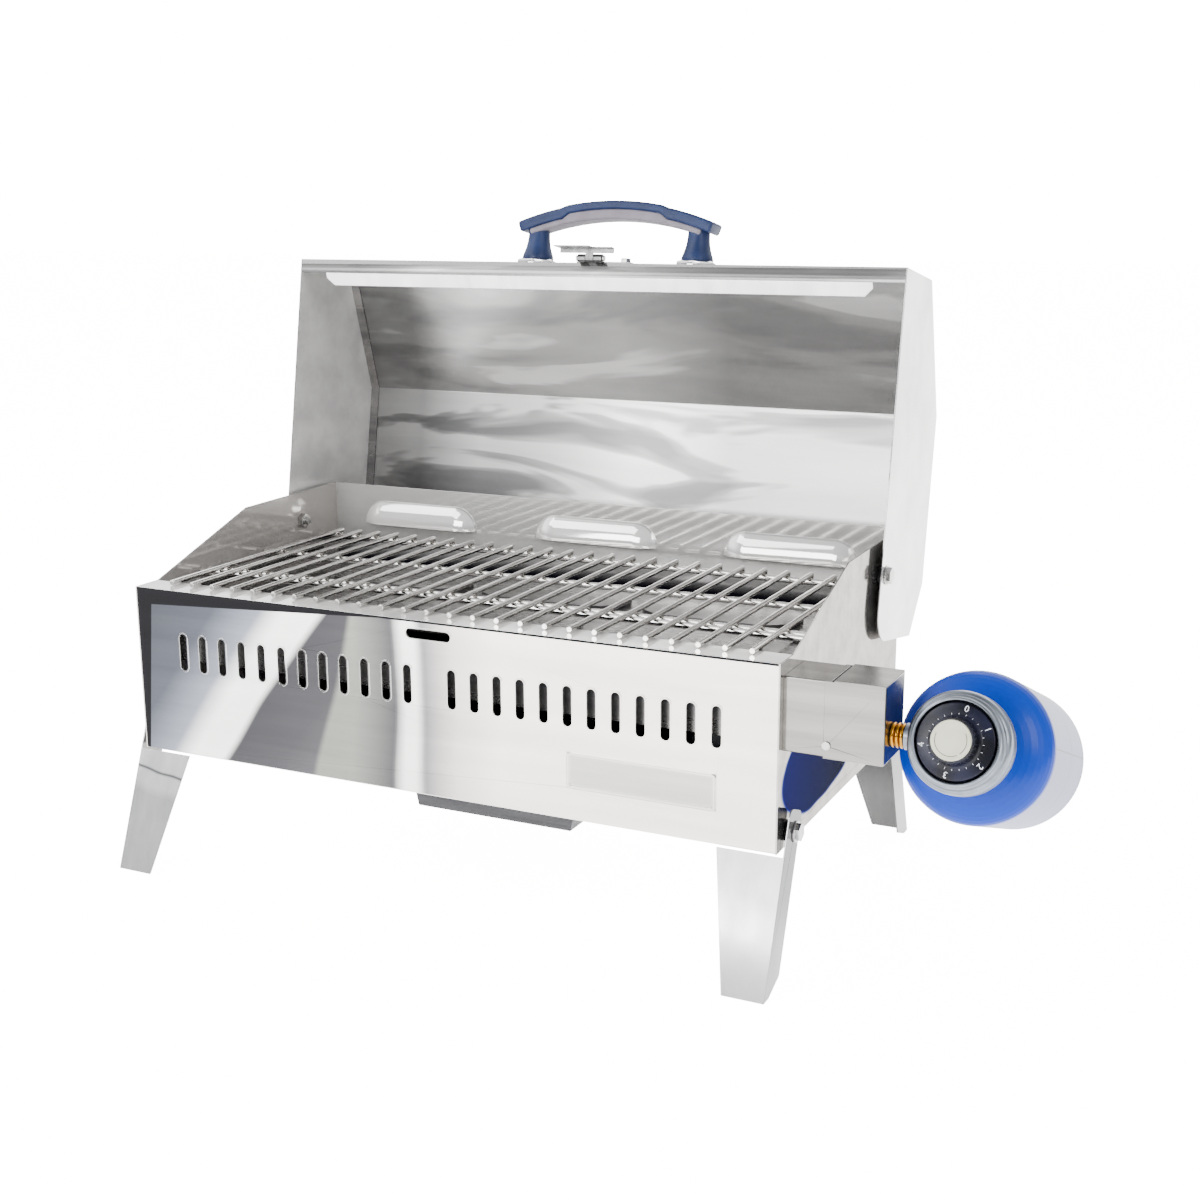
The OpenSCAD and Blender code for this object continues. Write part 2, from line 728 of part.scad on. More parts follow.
module handle_bar() color("royalblue") on_handle() difference() {
    from_panel(handle_w) arch_band(0, handle_t, handle_l / 2);
    from_panel(handle_w + 2) arch_band(handle_t - insert_t, handle_t + 2, insert_half);
}

module handle_insert() color("slategray") on_handle()
    from_panel(handle_w - 3) arch_band(handle_t - insert_t, handle_t, insert_half);

module at_posts() for (s = [-1, 1]) translate([s * post_pitch / 2, 0, 0]) rotate([90, 0, 0]) children();

post_l = handle_end_h - 2;
module handle_posts() color("royalblue") on_handle() difference() {
    intersection() {
        at_posts() rotate_extrude() difference() {
            translate([0, hex_h]) square([post_foot_r, post_l]);
            translate([post_waist_r + 40, handle_end_h - handle_t]) circle(40, $fn = 96);
        }
        from_panel(3 * post_foot_r)
            translate([0, handle_crown_h - handle_arc]) circle(handle_arc - handle_t, $fn = 120);
    }
    at_posts() translate([0, 0, hex_h - 1]) cylinder(h = 12, r = screw_post_r);
}

module handle_bases() color("silver") on_handle() at_posts() difference() {
    union() {
        cylinder(h = 1.2, r = hex_r);
        cylinder(h = hex_h, r = hex_r - 1.5, $fn = 6);
    }
    translate([0, 0, -1]) cylinder(h = hex_h + 2, r = screw_post_r);
}

module handle_screws() color("silver") on_handle() at_posts() {
    translate([0, 0, -sheet_t - 2.5]) cylinder(h = 2.5, r = 5);
    translate([0, 0, -sheet_t]) cylinder(h = sheet_t + hex_h + 9, r = screw_post_r);
}

// ---- latch, drawn on the closed lid ----
latch_bolt_x = barrel_x + barrel_l + 15;
latch_bolt_z = lid_rim + 7.5;
latch_bolt_r = 2;
pin_y = -lid_overhang - barrel_r;
pin_z = lid_rim - pin_drop;
knuckle_l = barrel_l / 3 - play;

module at_pin() translate([0, pin_y, pin_z]) children();

module latch_leaf() color("silver") on_lid() difference() {
    union() {
        translate([barrel_x - 3, -lid_overhang - sheet_t, lid_rim]) cube([leaf_w, sheet_t, leaf_h]);
        for (x = [barrel_x, barrel_x + barrel_l - knuckle_l]) {
            translate([x, -lid_overhang - sheet_t, pin_z]) cube([knuckle_l, sheet_t, pin_drop + 1]);
            at_pin() bar_x(x, x + knuckle_l, barrel_r);
        }
    }
    at_pin() bar_x(barrel_x - 1, barrel_x + barrel_l + 1, pin_r);
    translate([latch_bolt_x, 0, latch_bolt_z])
        deep(-lid_overhang - 5, -lid_overhang + 1) circle(latch_bolt_r);
}

module latch_pin() color("silver") on_lid() at_pin() {
    bar_x(barrel_x - 1, barrel_x + barrel_l + 1, pin_r);
    for (x = [barrel_x - 1.6, barrel_x + barrel_l + play]) bar_x(x, x + 1.3, pin_r + 0.8);
}

module latch_bolt() color("silver") on_lid() translate([latch_bolt_x, -lid_overhang, latch_bolt_z]) {
    deep(-sheet_t - 3.5, -sheet_t) circle(4, $fn = 6);
    deep(-sheet_t, sheet_t + 4) circle(latch_bolt_r);
    deep(sheet_t, sheet_t + 2.5) circle(4, $fn = 6);
}

// The hook is drawn as it engages the slot, then turned a quarter turn to its open place
tongue_z = latch_slot_z + 0.9;
tongue_x = -tongue_w / 2 + 1;
knuckle_x = barrel_x + barrel_l / 3 + play / 2;
module hook_engaged() difference() {
    union() {
        at_pin() bar_x(knuckle_x, knuckle_x + knuckle_l, barrel_r);
        translate([knuckle_x, pin_y + barrel_r - sheet_t, pin_z - 5]) cube([knuckle_l, sheet_t, 5]);
        translate([tongue_x, pin_y + barrel_r - sheet_t, tongue_z])
            cube([tongue_w + tab_w, sheet_t, pin_z - barrel_r - play - tongue_z]);
        translate([tongue_x, pin_y + barrel_r - sheet_t, tongue_z])
            cube([tongue_w, sheet_t + tongue_reach - pin_y - barrel_r, sheet_t]);
        translate([tongue_x + tongue_w, pin_y + barrel_r - sheet_t, tongue_z])
            cube([tab_w, sheet_t + 5, sheet_t]);
    }
    at_pin() bar_x(knuckle_x - 1, knuckle_x + knuckle_l + 1, pin_r + run_fit);
}

module latch_hook() color("gray") on_lid()
    at_pin() rotate([-90, 0, 0]) translate([0, -pin_y, -pin_z]) hook_engaged();

// ---- legs: drawn upright from the bolt, then splayed and cut level at the ground ----
leg_web_y = leg_pivot_y * cos(leg_splay) - leg_pivot_z * sin(leg_splay);
leg_web_top = leg_pivot_y * sin(leg_splay) + leg_pivot_z * cos(leg_splay) + 1;
leg_len = (leg_drop + leg_pivot_z + leg_web_y * sin(leg_splay)) / cos(leg_splay);
leg_crown = 14;

module leg_flange_outline() {
    r = 6;
    difference() {
        polygon([[-leg_web_y, leg_crown], [leg_flange_back, leg_crown],
            [leg_flange_back, -leg_len + leg_chamfer], [-leg_web_y + 4, -leg_len - 1],
            [-leg_web_y, -leg_len - 1]]);
        for (s = [[-leg_web_y + r, -1], [leg_flange_back - r, 1]])
            translate([s[0], leg_crown - r]) difference() {
                translate([s[1] > 0 ? 0 : -r - 1, 0]) square([r + 1, r + 1]);
                circle(r);
            }
    }
}

module leg_upright() difference() {
    union() {
        across(arm_in, arm_out) leg_flange_outline();
        deep(-leg_web_y, -leg_web_y + sheet_t)
            polygon([[arm_out, -leg_web_top], [arm_out - leg_top_w, -leg_web_top],
                [arm_out - leg_foot_w, -leg_len - 1], [arm_out, -leg_len - 1]]);
    }
    bar_x(arm_in - 1, arm_out + 1, bolt_r + run_fit);
}

module front_leg() difference() {
    translate([0, leg_pivot_y, leg_pivot_z]) rotate([-leg_splay, 0, 0]) leg_upright();
    translate([0, -2 * foot_y, -leg_drop - 20]) cube([body_w, 4 * foot_y, 20]);
}

module rear_leg() translate([0, body_d, 0]) mirror([0, 1, 0]) front_leg();

module leg_front_left() color(steel) placed() mirror([1, 0, 0]) front_leg();
module leg_front_right() color(steel) placed() front_leg();
module leg_rear_left() color(steel) placed() mirror([1, 0, 0]) rear_leg();
module leg_rear_right() color(steel) placed() rear_leg();

// ---- grate ----
module grate_rods() color("whitesmoke") placed()
    for (i = [0:rod_count - 1])
        translate([(i - (rod_count - 1) / 2) * rod_pitch, 0, rod_z]) {
            deep(rod_front, body_d - rod_back - rod_r) circle(rod_r);
            translate([0, body_d - rod_back - rod_r, 0]) {
                sphere(rod_r);
                translate([0, 0, -rod_turn]) cylinder(h = rod_turn, r = rod_r);
            }
        }

cross_ys = [body_d * 0.27, body_d * 0.27 + 9, body_d * 0.58, body_d - rod_back - 2 * rod_r - cross_r];
module grate_cross_rods() color("whitesmoke") placed()
    for (y = cross_ys) translate([0, y, cross_z])
        bar_x(-side_in + grate_side_gap, side_in - grate_side_gap, cross_r);

// ---- regulator, drawn along +Z from the dial side to the cylinder ----
module on_regulator()
    placed() translate([reg_x, inlet_y, inlet_z]) rotate([-90 - reg_tilt, 0, 0]) children();

socket_r = neck_r + 4;
neck_0 = 9;
neck_1 = 20;
boss_r = spigot_r + 3.5;
dial_back = -14;
dial_face = -20;
recess = dial_back + push_l + 1;

cone_in = dial_r - 3;
cone_out = reg_r - 1.6;
function cone_z(r) = recess + (-4 - recess) * (r - cone_in) / (cone_out - cone_in);

module swivel_boss()
    placed() translate([tunnel_x + fitting_l + play, inlet_y, inlet_z])
        bar_x(0, reg_reach - fitting_l - reg_r + 6, boss_r);

module regulator_body() color("silver") difference() {
    union() {
        on_regulator() rotate_extrude()
            polygon([[0, recess], [cone_in, recess], [cone_out, cone_z(cone_out)], [reg_r, -2],
                [reg_r, 2], [reg_r - 5, 6], [socket_r + 3, neck_0], [0, neck_0]]);
        swivel_boss();
    }
    placed() translate([0, inlet_y, inlet_z])
        bar_x(tunnel_x, tunnel_x + fitting_l + spigot_l + 2, spigot_r + run_fit);
    on_regulator() translate([0, 0, recess - 1]) cylinder(h = 12, r = spindle_r + run_fit);
}

// The ring round the dial, seated on the body's cone
module regulator_bezel() color("lightsteelblue") difference() {
    on_regulator() rotate_extrude()
        polygon([[dial_r + 0.8, cone_z(dial_r + 0.8)], [dial_r + 0.8, dial_face + 1.5],
            [dial_r + 2.6, dial_face], [dial_r + 4.4, dial_face + 2], [reg_r - 2.2, -5.5],
            [cone_out, cone_z(cone_out)]]);
    swivel_boss();
}

module cylinder_socket() color("silver") on_regulator() rotate_extrude()
    polygon([[0, neck_0], [socket_r, neck_0], [socket_r, neck_1], [neck_r, neck_1],
        [neck_r, neck_0 + 3], [0, neck_0 + 3]]);

spindle_0 = dial_back - 8;
module control_spindle() color("goldenrod") on_regulator()
    translate([0, 0, spindle_0]) cylinder(h = recess + 8 - spindle_0, r = spindle_r);

module control_dial() color("#15172b") on_regulator() difference() {
    union() {
        rotate_extrude() polygon([[0, dial_back], [dial_r - 0.6, dial_back], [dial_r, dial_back - 0.6],
            [dial_r, dial_face + 0.8], [dial_r - 0.8, dial_face], [grip_r + 1, dial_face],
            [grip_r, dial_face - grip_h], [0, dial_face - grip_h]]);
        for (i = [0:23]) rotate([0, 0, i * 15]) translate([grip_r - 0.2, 0, dial_face - grip_h + 2])
            cylinder(h = grip_h - 2, r = 0.9);
    }
    translate([0, 0, spindle_0 - push_l - play])
        cylinder(h = dial_back + 1 - spindle_0 + push_l + play, r = spindle_r + run_fit);
}

module dial_disc() color("ivory") on_regulator()
    translate([0, 0, dial_face - grip_h - 1]) cylinder(h = 1, r = disc_r);

// ---- gas cylinder ----
neck_hole_r = 3;
dome_0 = neck_1 + 1;
dome_1 = dome_0 + dome_l;
valve_end = dome_0 - 0.5;
valve_0 = neck_0 + 3 + play;
sleeve_0 = dome_1 + 1;
base_z = tank_l - 6;

// Half outline of the shoulder: an ellipse of the given radius and length
function shoulder(r, l, z1) = [for (a = [20:7:90]) [r * sin(a), z1 - l * cos(a)]];

module cylinder_shell() color("royalblue") on_regulator() rotate_extrude() difference() {
    polygon(concat([[0, valve_end], [neck_r + 1.5, valve_end]], shoulder(tank_r, dome_l, dome_1),
        [[tank_r, sleeve_0], [tank_r - sleeve_t, sleeve_0], [tank_r - sleeve_t, base_z],
        [tank_r - 7, tank_l - 2], [tank_r - 14, tank_l], [tank_r - 20, tank_l - 3],
        [0, tank_l - 10]]));
    inner = tank_r - sleeve_t - tank_wall;
    polygon(concat([[0, dome_0 + 3]], shoulder(tank_r - tank_wall, dome_l - 2, dome_1),
        [[inner, sleeve_0], [inner, base_z - 2], [tank_r - 9, tank_l - 4],
        [tank_r - 14, tank_l - 2.5], [tank_r - 19, tank_l - 5.5], [0, tank_l - 12]]));
    square([neck_hole_r, dome_0 + 10]);
}

module cylinder_sleeve() color("lavender") on_regulator() difference() {
    translate([0, 0, sleeve_0]) cylinder(h = base_z - sleeve_0 - 2, r = tank_r);
    translate([0, 0, sleeve_0 - 1]) cylinder(h = base_z, r = tank_r - sleeve_t);
}

module cylinder_base_ring() color("#222233") on_regulator() difference() {
    translate([0, 0, base_z - 2]) cylinder(h = 2, r = tank_r);
    translate([0, 0, base_z - 3]) cylinder(h = 4, r = tank_r - sleeve_t);
}

module cylinder_valve() color("goldenrod") on_regulator() difference() {
    translate([0, 0, valve_0]) cylinder(h = valve_end - valve_0, r = neck_r - run_fit);
    translate([0, 0, neck_0]) cylinder(h = 30, r = neck_hole_r);
}

// ---- drawing ----
firebox_shell();
side_panel_left();
side_panel_right();
support_ledges();
front_baffle();
radiant_plate();
burner_tube();
burner_bracket();
venturi_mouth();
tunnel_housing();
tunnel_cover();
tunnel_screws();
gas_fitting();
tray_rails();
hinge_bolts();
hinge_spacers();
hinge_nuts();
leg_bolts();
leg_spacers();
leg_nuts();
lid_shell();
lid_cap_left();
lid_cap_right();
lid_corner_flanges();
lid_lip();
handle_bar();
handle_insert();
handle_posts();
handle_bases();
handle_screws();
latch_leaf();
latch_pin();
latch_bolt();
latch_hook();
leg_front_left();
leg_front_right();
leg_rear_left();
leg_rear_right();
grate_rods();
grate_cross_rods();
grease_tray();
regulator_body();
regulator_bezel();
cylinder_socket();
control_spindle();
control_dial();
dial_disc();
cylinder_shell();
cylinder_sleeve();
cylinder_base_ring();
cylinder_valve();
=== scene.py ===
import json
import math

import bmesh
import bpy
from mathutils import Matrix, Vector


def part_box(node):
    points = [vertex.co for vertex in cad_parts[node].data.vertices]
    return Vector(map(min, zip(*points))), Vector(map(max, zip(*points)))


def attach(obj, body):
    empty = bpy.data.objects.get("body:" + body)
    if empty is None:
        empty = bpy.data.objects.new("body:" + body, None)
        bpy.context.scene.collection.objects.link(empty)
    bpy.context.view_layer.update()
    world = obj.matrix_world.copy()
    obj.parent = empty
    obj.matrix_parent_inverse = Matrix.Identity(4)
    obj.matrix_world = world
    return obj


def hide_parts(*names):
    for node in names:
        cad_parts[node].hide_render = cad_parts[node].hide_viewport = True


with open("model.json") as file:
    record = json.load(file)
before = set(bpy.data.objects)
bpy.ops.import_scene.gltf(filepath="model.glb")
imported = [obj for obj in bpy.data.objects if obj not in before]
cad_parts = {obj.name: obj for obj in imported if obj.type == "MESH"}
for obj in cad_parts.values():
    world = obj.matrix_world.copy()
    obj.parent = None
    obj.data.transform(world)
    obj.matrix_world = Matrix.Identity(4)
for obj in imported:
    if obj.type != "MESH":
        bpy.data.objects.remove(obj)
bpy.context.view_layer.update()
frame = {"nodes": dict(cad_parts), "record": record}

bpy.ops.object.select_all(action="DESELECT")
print("frame loaded:", len(frame["nodes"]), "parts")


def mm(value):
    return value / 1000


def linear(hexText):
    # sRGB hex to the linear colour that Blender's sockets take
    parts = [int(hexText[i:i + 2], 16) / 255 for i in (1, 3, 5)]
    return [p / 12.92 if p <= 0.04045 else ((p + 0.055) / 1.055) ** 2.4 for p in parts] + [1]


def addNode(tree, kind, settings=None, inputs=None):
    # Sockets are linked, and anything else becomes the input's own value
    made = tree.nodes.new("ShaderNode" + kind)
    for key, value in (settings or {}).items():
        setattr(made, key, value)
    for key, value in (inputs or {}).items():
        if isinstance(value, bpy.types.NodeSocket):
            tree.links.new(value, made.inputs[key])
        else:
            made.inputs[key].default_value = value
    return made


# settings that many colour and number nodes share
blend = {"data_type": "RGBA"}
multiply = {"data_type": "RGBA", "blend_type": "MULTIPLY"}
eased = {"interpolation_type": "SMOOTHSTEP"}


def setRamp(ramp, stops):
    while len(ramp.elements) < len(stops):
        ramp.elements.new(0.5)
    for element, (at, colour) in zip(ramp.elements, stops):
        element.position = at
        element.color = linear(colour)


cameraSet = {"place": (0.5135, -1.0960, 0.4960), "tilt": 76.4, "roll": 0.28, "turn": 25.75, "lens": 50.15, "sensor": 36}


def makeCamera(look):
    turn = [math.radians(look[key]) for key in ("tilt", "roll", "turn")]
    bpy.ops.object.camera_add(location=look["place"], rotation=turn)
    made = bpy.context.object
    made.data.lens = look["lens"]
    made.data.sensor_width = look["sensor"]
    bpy.context.scene.camera = made


studio = {
    "floorSize": 24,
    "floor": "#F4F4F3",
    "floorGlow": 3.2,  # what the lit floor adds to the light from below
    "floorSeen": 16.0,  # lifts the floor to the plain backdrop's white
    "seen": 22.0,  # brightness of the plain backdrop
    "room": 3.4,  # brightness of the room that the steel mirrors
    "height": [  # the room's tones from the horizon up
        (0.0, "#8E8F93"), (0.05, "#5E5F64"), (0.13, "#B4B4B6"), (0.26, "#FFFFFF"), (0.7, "#F0F0F0"), (1.0, "#9C9C9E"),
    ],
    "round": [  # and once round it
        (0.0, "#FFFFFF"), (0.08, "#FFFFFF"), (0.14, "#7A7B7E"), (0.36, "#7A7B7E"), (0.41, "#FFFFFF"), (0.50, "#8A8B8E"),
        (0.56, "#B0B1B4"), (0.70, "#FFFFFF"), (0.86, "#FFFFFF"), (0.89, "#808184"), (0.93, "#FFFFFF"), (1.0, "#FFFFFF"),
    ],
    "cards": [  # place, aim, size, watts
        ((-1.1, -1.3, 1.7), (0, 0, 0.2), (1.3, 0.8), 24),
        ((1.5, -1.2, 1.3), (0.3, 0, 0.2), (0.5, 0.9), 12),
        ((0.1, 1.7, 1.6), (0, 0, 0.3), (1.6, 0.7), 18),
        ((-0.45, -1.7, 0.75), (-0.05, 0, 0.3), (1.0, 0.55), 26),
    ],
}


def makeFloor(look):
    bpy.ops.mesh.primitive_plane_add(size=look["floorSize"], location=(0, 0, 0))
    floor = bpy.context.object
    floor.name = "studio_floor"
    mat = bpy.data.materials.new("pale studio floor")
    mat.use_nodes = True
    tree = mat.node_tree
    shader = tree.nodes["Principled BSDF"]
    shader.inputs["Base Color"].default_value = linear(look["floor"])
    shader.inputs["Roughness"].default_value = 0.75
    shader.inputs["Specular IOR Level"].default_value = 0.1
    paths = addNode(tree, "LightPath")
    glow = addNode(tree, "MapRange", None, {
        0: paths.outputs["Is Camera Ray"], 3: look["floorGlow"], 4: look["floorSeen"]})
    shader.inputs["Emission Color"].default_value = linear(look["floor"])
    tree.links.new(glow.outputs[0], shader.inputs["Emission Strength"])
    floor.data.materials.append(mat)


def makeLights(look):
    for place, aim, size, watts in look["cards"]:
        away = Vector(aim) - Vector(place)
        turn = away.to_track_quat("-Z", "Y").to_euler()
        bpy.ops.object.light_add(type="AREA", location=place, rotation=turn)
        card = bpy.context.object.data
        card.shape = "RECTANGLE"
        card.size, card.size_y = size
        card.energy = watts


def makeSky(look):
    # A plain white backdrop for the camera; the steel mirrors a room with grey screens and a greyer band low down
    world = bpy.data.worlds.new("studio room")
    bpy.context.scene.world = world
    world.use_nodes = True
    tree = world.node_tree
    tree.nodes.clear()
    coords = addNode(tree, "TexCoord")
    split = addNode(tree, "SeparateXYZ", None, {0: coords.outputs["Generated"]})
    height = addNode(tree, "ValToRGB", None, {0: split.outputs["Z"]})
    setRamp(height.color_ramp, look["height"])
    bearing = addNode(tree, "Math", {"operation": "ARCTAN2"}, {0: split.outputs["Y"], 1: split.outputs["X"]})
    share = addNode(tree, "MapRange", None, {0: bearing.outputs[0], 1: -math.pi, 2: math.pi})
    screens = addNode(tree, "ValToRGB", None, {0: share.outputs[0]})
    setRamp(screens.color_ramp, look["round"])
    both = addNode(tree, "Mix", multiply, {0: 1.0, 6: height.outputs[0], 7: screens.outputs[0]})
    paths = addNode(tree, "LightPath")
    room = addNode(tree, "Background", None, {"Color": both.outputs[2], "Strength": look["room"]})
    seen = addNode(tree, "Background", None, {"Color": (1, 1, 1, 1), "Strength": look["seen"]})
    sky = addNode(tree, "MixShader", None, {
        0: paths.outputs["Is Camera Ray"], 1: room.outputs[0], 2: seen.outputs[0]})
    addNode(tree, "OutputWorld", None, {"Surface": sky.outputs[0]})


makeCamera(cameraSet)
makeFloor(studio)
makeLights(studio)
makeSky(studio)
print("camera, floor and light set")

panelLow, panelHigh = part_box("side_panel_left")[0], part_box("side_panel_right")[1]
panelWide, panelMiddle = panelHigh.x - panelLow.x, (panelLow.x + panelHigh.x) / 2
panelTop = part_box("front_baffle")[1].z + mm(14)
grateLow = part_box("grate_cross_rods")[0].z
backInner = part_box("firebox_shell")[1].y - mm(1)

placeSet = {"regulator": ((0.2902, -0.12892, 0.1707), -110.5), "handle": ((-0.0528, 0.104986, 0.442094), -10)}


def leaning(at, angle):
    return Matrix.Translation(at) @ Matrix.Rotation(math.radians(angle), 4, "X")


# The regulator's own frame: Z runs back to the cylinder, and -Y is up
regulatorPlace = leaning(*placeSet["regulator"])
# The handle's own frame: Z stands off the lid, and X runs along the handle
handlePlace = leaning(*placeSet["handle"])


def newMaterial(name, metallic=0, roughness=0.5):
    mat = bpy.data.materials.new(name)
    mat.use_nodes = True
    shader = mat.node_tree.nodes["Principled BSDF"]
    shader.inputs["Metallic"].default_value = metallic
    shader.inputs["Roughness"].default_value = roughness
    return mat, mat.node_tree, shader


steelLooks = {
    "sheet": {"tone": "#B8B6B3", "dull": "#9A9897", "rough": 0.07, "wave": 0.35, "grain": (4, 60, 60), "mirror": 0.9},
    # inner: its dark tone is painted shade inside the firebox, on a rougher, less mirror-like sheet
    "inner": {"tone": "#8F8D8B", "dull": "#565557", "rough": 0.26, "wave": 0.3, "grain": (3, 30, 30), "mirror": 0.85},
    "leg": {"tone": "#E4E3E2", "dull": "#C8C8CA", "rough": 0.10, "wave": 0.2, "grain": (60, 60, 5), "mirror": 0.95},
    "tunnel": {"tone": "#8C8A87", "dull": "#767471", "rough": 0.16, "wave": 0.1, "grain": (4, 70, 70), "mirror": 0.95},
    # satin: its dark tone is painted shade under and inside the firebox, on a rough satin sheet
    "satin": {"tone": "#4A4A4C", "dull": "#38383A", "rough": 0.38, "wave": 0.1, "grain": (6, 90, 90)},
}


def steelNodes(tree, shader, look):
    # Returns the streaky tone; haze and a gentle swell of the sheet are already linked
    coords = addNode(tree, "TexCoord")
    along = addNode(tree, "Mapping", None, {"Vector": coords.outputs["Object"], "Scale": look["grain"]})
    streak = addNode(tree, "TexNoise", None, {"Vector": along.outputs[0], "Scale": 1.0, "Detail": 5.0, "Roughness": 0.6})
    sharp = addNode(tree, "MapRange", None, {0: streak.outputs["Fac"], 1: 0.35, 2: 0.7})
    tone = addNode(tree, "Mix", blend, {0: sharp.outputs[0], 6: linear(look["tone"]), 7: linear(look["dull"])})
    haze = addNode(tree, "MapRange", None, {0: streak.outputs["Fac"], 3: look["rough"] * 0.5, 4: look["rough"] * 1.6})
    tree.links.new(haze.outputs[0], shader.inputs["Roughness"])
    swell = addNode(tree, "TexNoise", None, {"Vector": coords.outputs["Object"], "Scale": 7.0, "Detail": 1.0})
    brush = addNode(tree, "TexNoise", None, {"Vector": along.outputs[0], "Scale": 12.0, "Detail": 2.0})
    lines = addNode(tree, "Bump", None, {"Height": brush.outputs["Fac"], "Distance": mm(0.01), "Strength": 0.3})
    bump = addNode(tree, "Bump", None, {
        "Height": swell.outputs["Fac"], "Distance": mm(1), "Strength": look["wave"], "Normal": lines.outputs[0]})
    tree.links.new(bump.outputs[0], shader.inputs["Normal"])
    return coords, tone.outputs[2]


def polishedSteel(name, look):
    # Rolled and mirror-polished 304 stainless: long faint rolling streaks and a slightly wavy mirror
    mat, tree, shader = newMaterial(name, look.get("mirror", 1))
    tone = steelNodes(tree, shader, look)[1]
    tree.links.new(tone, shader.inputs["Base Color"])
    return mat


frontSet = {
    "steel": {"tone": "#EFEDEA", "dull": "#DAD8D6", "rough": 0.07, "wave": 0.3, "grain": (4, 60, 60)},
    "backShade": 0.62,  # painted shade: the back panel is darker than the front
    "backMirror": 0.45,
    "belowGrateShade": "#20212E",  # blue-black painted shade below the grate
    "lean": 0.19,  # how far the diagonal swirl leans over the panel's height, as a share of its width
    # swirl and upright: tones of painted reflection across the front
    "swirl": [(0.0, "#3A3C41"), (0.18, "#494C55"), (0.26, "#7D828E"), (0.30, "#FFFFFF"), (0.352, "#FFFFFF"),
              (0.366, "#3F3F43"), (0.46, "#47474B"), (0.56, "#5A5A5F")],
    "upright": [(0.0, "#747671"), (0.40, "#80827E"), (0.468, "#4E4E52"), (0.487, "#FFFFFF"), (0.503, "#FFFFFF"),
                (0.517, "#7B7B80"), (0.565, "#D9D5D2"), (0.63, "#FFFBF7")],
    "sides": (0.332, 0.344),  # where the swirl gives way to the upright streak
    # edge: width of the dark edge of painted reflection
    "edge": 0.03,
    "edgeReflectionDark": "#17171A",
    "plaque": (31.2, 138.2, 110.2, 135.2),  # left, right, bottom, top
    # plaque tones: painted reflection, darker inside, then a white line and a dark line at the border
    "plaqueTones": [(0.0, "#C4C6C8"), (0.42, "#CFD1D2"), (0.5, "#F4F4F4"), (0.56, "#FFFFFF"), (0.62, "#6E6E6E"),
                    (0.68, "#D8D8D8"), (0.8, "#FFFFFF")],
}


